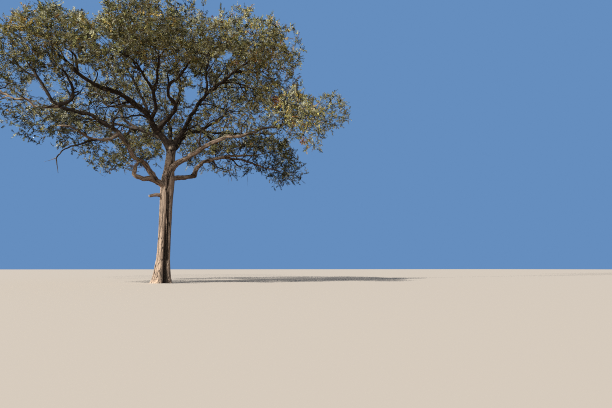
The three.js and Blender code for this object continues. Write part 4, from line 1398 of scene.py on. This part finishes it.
def bark_group():
    """Fissured bark: plates mottled from mid to light, painted shade on high limbs with flecks of the
    plates in it, dark streaks of grain along the limb, painted shade in the fissures and grooves, bare
    scars and painted highlights."""
    tree = bpy.data.node_groups.new("fissured_bark", "ShaderNodeTree")
    for name, kind in (("Place", "Vector"), ("Look", "Vector"), ("Light", "Color"), ("Mid", "Color"),
                       ("High", "Color"), ("Dark", "Color"), ("Bare Wood", "Color"), ("Grain", "Float")):
        tree.interface.new_socket(name, in_out="INPUT", socket_type="NodeSocket" + kind)
    for name, kind in (("Colour", "Color"), ("Roughness", "Float"), ("Normal", "Vector")):
        tree.interface.new_socket(name, in_out="OUTPUT", socket_type="NodeSocket" + kind)
    given = tree.nodes.new("NodeGroupInput")
    result = tree.nodes.new("NodeGroupOutput")

    look = tree.nodes.new("ShaderNodeSeparateXYZ")
    tree.links.new(given.outputs["Look"], look.inputs[0])
    stretch = new_node(tree, "ShaderNodeMapping", Scale=(1, 1, 0.09))
    tree.links.new(given.outputs["Place"], stretch.inputs["Vector"])
    patches = noise_over(tree, stretch.outputs["Vector"], Scale=8, Detail=6)
    flecks = noise_over(tree, given.outputs["Place"], Scale=3.5, Detail=3)
    grain = noise_over(tree, stretch.outputs["Vector"], Detail=4)
    tree.links.new(given.outputs["Grain"], grain.inputs["Scale"])

    mottle = ranged(tree, patches.outputs["Fac"], From_Min=0.35, From_Max=0.65)
    plates = blended(tree, mottle, given.outputs["Mid"], given.outputs["Light"])
    # Painted shade on high limbs, broken by flecks where some of the plates' colour shows
    fleck = ranged(tree, flecks.outputs["Fac"], From_Min=0.56, From_Max=0.66, To_Max=0.45)
    unshaded_share = tree.nodes.new("ShaderNodeMath")
    unshaded_share.operation = "MAXIMUM"
    tree.links.new(look.outputs["Y"], unshaded_share.inputs[0])
    tree.links.new(fleck, unshaded_share.inputs[1])
    high_shade = blended(tree, unshaded_share.outputs[0], given.outputs["High"], plates)
    streak = ranged(tree, grain.outputs["Fac"], From_Min=0.46, From_Max=0.72, To_Max=0.62)
    streaked = blended(tree, streak, high_shade, given.outputs["Dark"])
    # Painted shade: the bottoms of fissures and grooves turn near black
    fissure_shaded = blended(tree, look.outputs["X"], streaked, given.outputs["Dark"])
    # Bare scars, and painted highlights on the outer left limbs
    scarred_and_highlit = blended(tree, look.outputs["Z"], fissure_shaded, given.outputs["Bare Wood"])
    tree.links.new(scarred_and_highlit, result.inputs["Colour"])

    rough = ranged(tree, patches.outputs["Fac"], To_Min=0.95, To_Max=0.75)
    tree.links.new(rough, result.inputs["Roughness"])
    bump = new_node(tree, "ShaderNodeBump", Strength=0.6, Distance=0.012)
    tree.links.new(grain.outputs["Fac"], bump.inputs["Height"])
    tree.links.new(bump.outputs["Normal"], result.inputs["Normal"])
    return tree


def bark_material(name, group, brightness, grain):
    """Bark with the group's pattern, its light and mid colours scaled by brightness."""
    material = bpy.data.materials.new(name)
    material.use_nodes = True
    tree = material.node_tree
    bark = tree.nodes.new("ShaderNodeGroup")
    bark.node_tree = group
    for socket, attribute in (("Place", "bark_place"), ("Look", "bark_look")):
        held = tree.nodes.new("ShaderNodeAttribute")
        held.attribute_name = attribute
        tree.links.new(held.outputs["Vector"], bark.inputs[socket])
    colours = {"Light": np.array(BARK_LIGHT) * brightness, "Mid": np.array(BARK_MID) * brightness,
               "High": BARK_PAINTED_SHADE, "Dark": BARK_DARK, "Bare Wood": BARE_WOOD_AND_HIGHLIGHT}
    for socket, colour in colours.items():
        bark.inputs[socket].default_value = (*colour, 1)
    bark.inputs["Grain"].default_value = grain
    shader = tree.nodes["Principled BSDF"]
    shader.inputs["Specular IOR Level"].default_value = BARK_GLOSS
    tree.links.new(bark.outputs["Colour"], shader.inputs["Base Color"])
    tree.links.new(bark.outputs["Roughness"], shader.inputs["Roughness"])
    tree.links.new(bark.outputs["Normal"], shader.inputs["Normal"])
    return material


def floor_material():
    """Pale to the eye, and darker and warmer in the light that it throws back."""
    material = bpy.data.materials.new("floor_pale")
    material.use_nodes = True
    nodes = material.node_tree.nodes
    links = material.node_tree.links
    sight = nodes.new("ShaderNodeLightPath")
    blend = nodes.new("ShaderNodeMix")
    blend.data_type = "RGBA"
    blend.inputs[MIX_FIRST].default_value = (*FLOOR_GLOW, 1)
    blend.inputs[MIX_SECOND].default_value = (*FLOOR_COLOUR, 1)
    links.new(sight.outputs["Is Camera Ray"], blend.inputs[MIX_FACTOR])
    links.new(blend.outputs[MIX_RESULT], nodes["Principled BSDF"].inputs["Base Color"])
    nodes["Principled BSDF"].inputs["Roughness"].default_value = FLOOR_ROUGHNESS
    return material


# Stage

def backdrop_world():
    """Even fill light, with one plain blue where the camera looks past the tree."""
    world = bpy.data.worlds.new("backdrop")
    world.use_nodes = True
    nodes = world.node_tree.nodes
    links = world.node_tree.links
    fill = nodes["Background"]
    fill.inputs["Color"].default_value = (*FILL_COLOUR, 1)
    fill.inputs["Strength"].default_value = FILL_STRENGTH
    seen = nodes.new("ShaderNodeBackground")
    seen.inputs["Color"].default_value = (*BACKDROP_COLOUR, 1)
    sight = nodes.new("ShaderNodeLightPath")
    choose = nodes.new("ShaderNodeMixShader")
    links.new(sight.outputs["Is Camera Ray"], choose.inputs[0])
    links.new(fill.outputs[0], choose.inputs[1])
    links.new(seen.outputs[0], choose.inputs[2])
    links.new(choose.outputs[0], nodes["World Output"].inputs["Surface"])
    return world


def make_stage():
    """The plain floor, the backdrop and the soft suns."""
    bpy.ops.mesh.primitive_plane_add(size=FLOOR_SIZE)
    floor = bpy.context.object
    floor.name = "floor"
    floor.data.materials.append(floor_material())
    bpy.context.scene.world = backdrop_world()
    for name, side, height, strength in SUNS:
        lamp = bpy.data.lights.new(name, "SUN")
        lamp.energy = strength
        lamp.angle = SUN_SOFTNESS
        lamp.color = SUN_COLOUR
        sun = bpy.data.objects.new(name, lamp)
        sun.rotation_euler = (math.pi / 2 - math.radians(height), 0, math.radians(side))
        bpy.context.scene.collection.objects.link(sun)
    # True tones, and no smoothing over of the fine leaves
    bpy.context.scene.view_settings.view_transform = "Standard"
    bpy.context.scene.cycles.use_denoising = False
    bpy.context.scene.cycles.filter_width = PIXEL_FILTER


make_camera()
make_stage()
bark_pattern = bark_group()
trunk_bark = bark_material("trunk_bark", bark_pattern, 1.0, TRUNK_GRAIN)
bough_bark = bark_material("bough_bark", bark_pattern, BOUGH_BRIGHTNESS, BOUGH_GRAIN)
growth_materials = {
    "leaf": [plain_material(row[0], row[1], LEAF_ROUGHNESS, LEAF_GLOSS) for row in LEAF_TINTS],
    "twig": [plain_material(row[0], row[1], TWIG_ROUGHNESS, TWIG_GLOSS) for row in TWIG_TINTS],
}
make_trunk(trunk_bark)
make_limbs(limb_curves, bough_bark)
side_branches, bearing_curves = all_branches(limb_curves)
make_branches(side_branches, bough_bark)
grow_masses(bearing_curves, growth_materials)
grow_loose(bearing_curves, growth_materials)

bpy.context.view_layer.update()
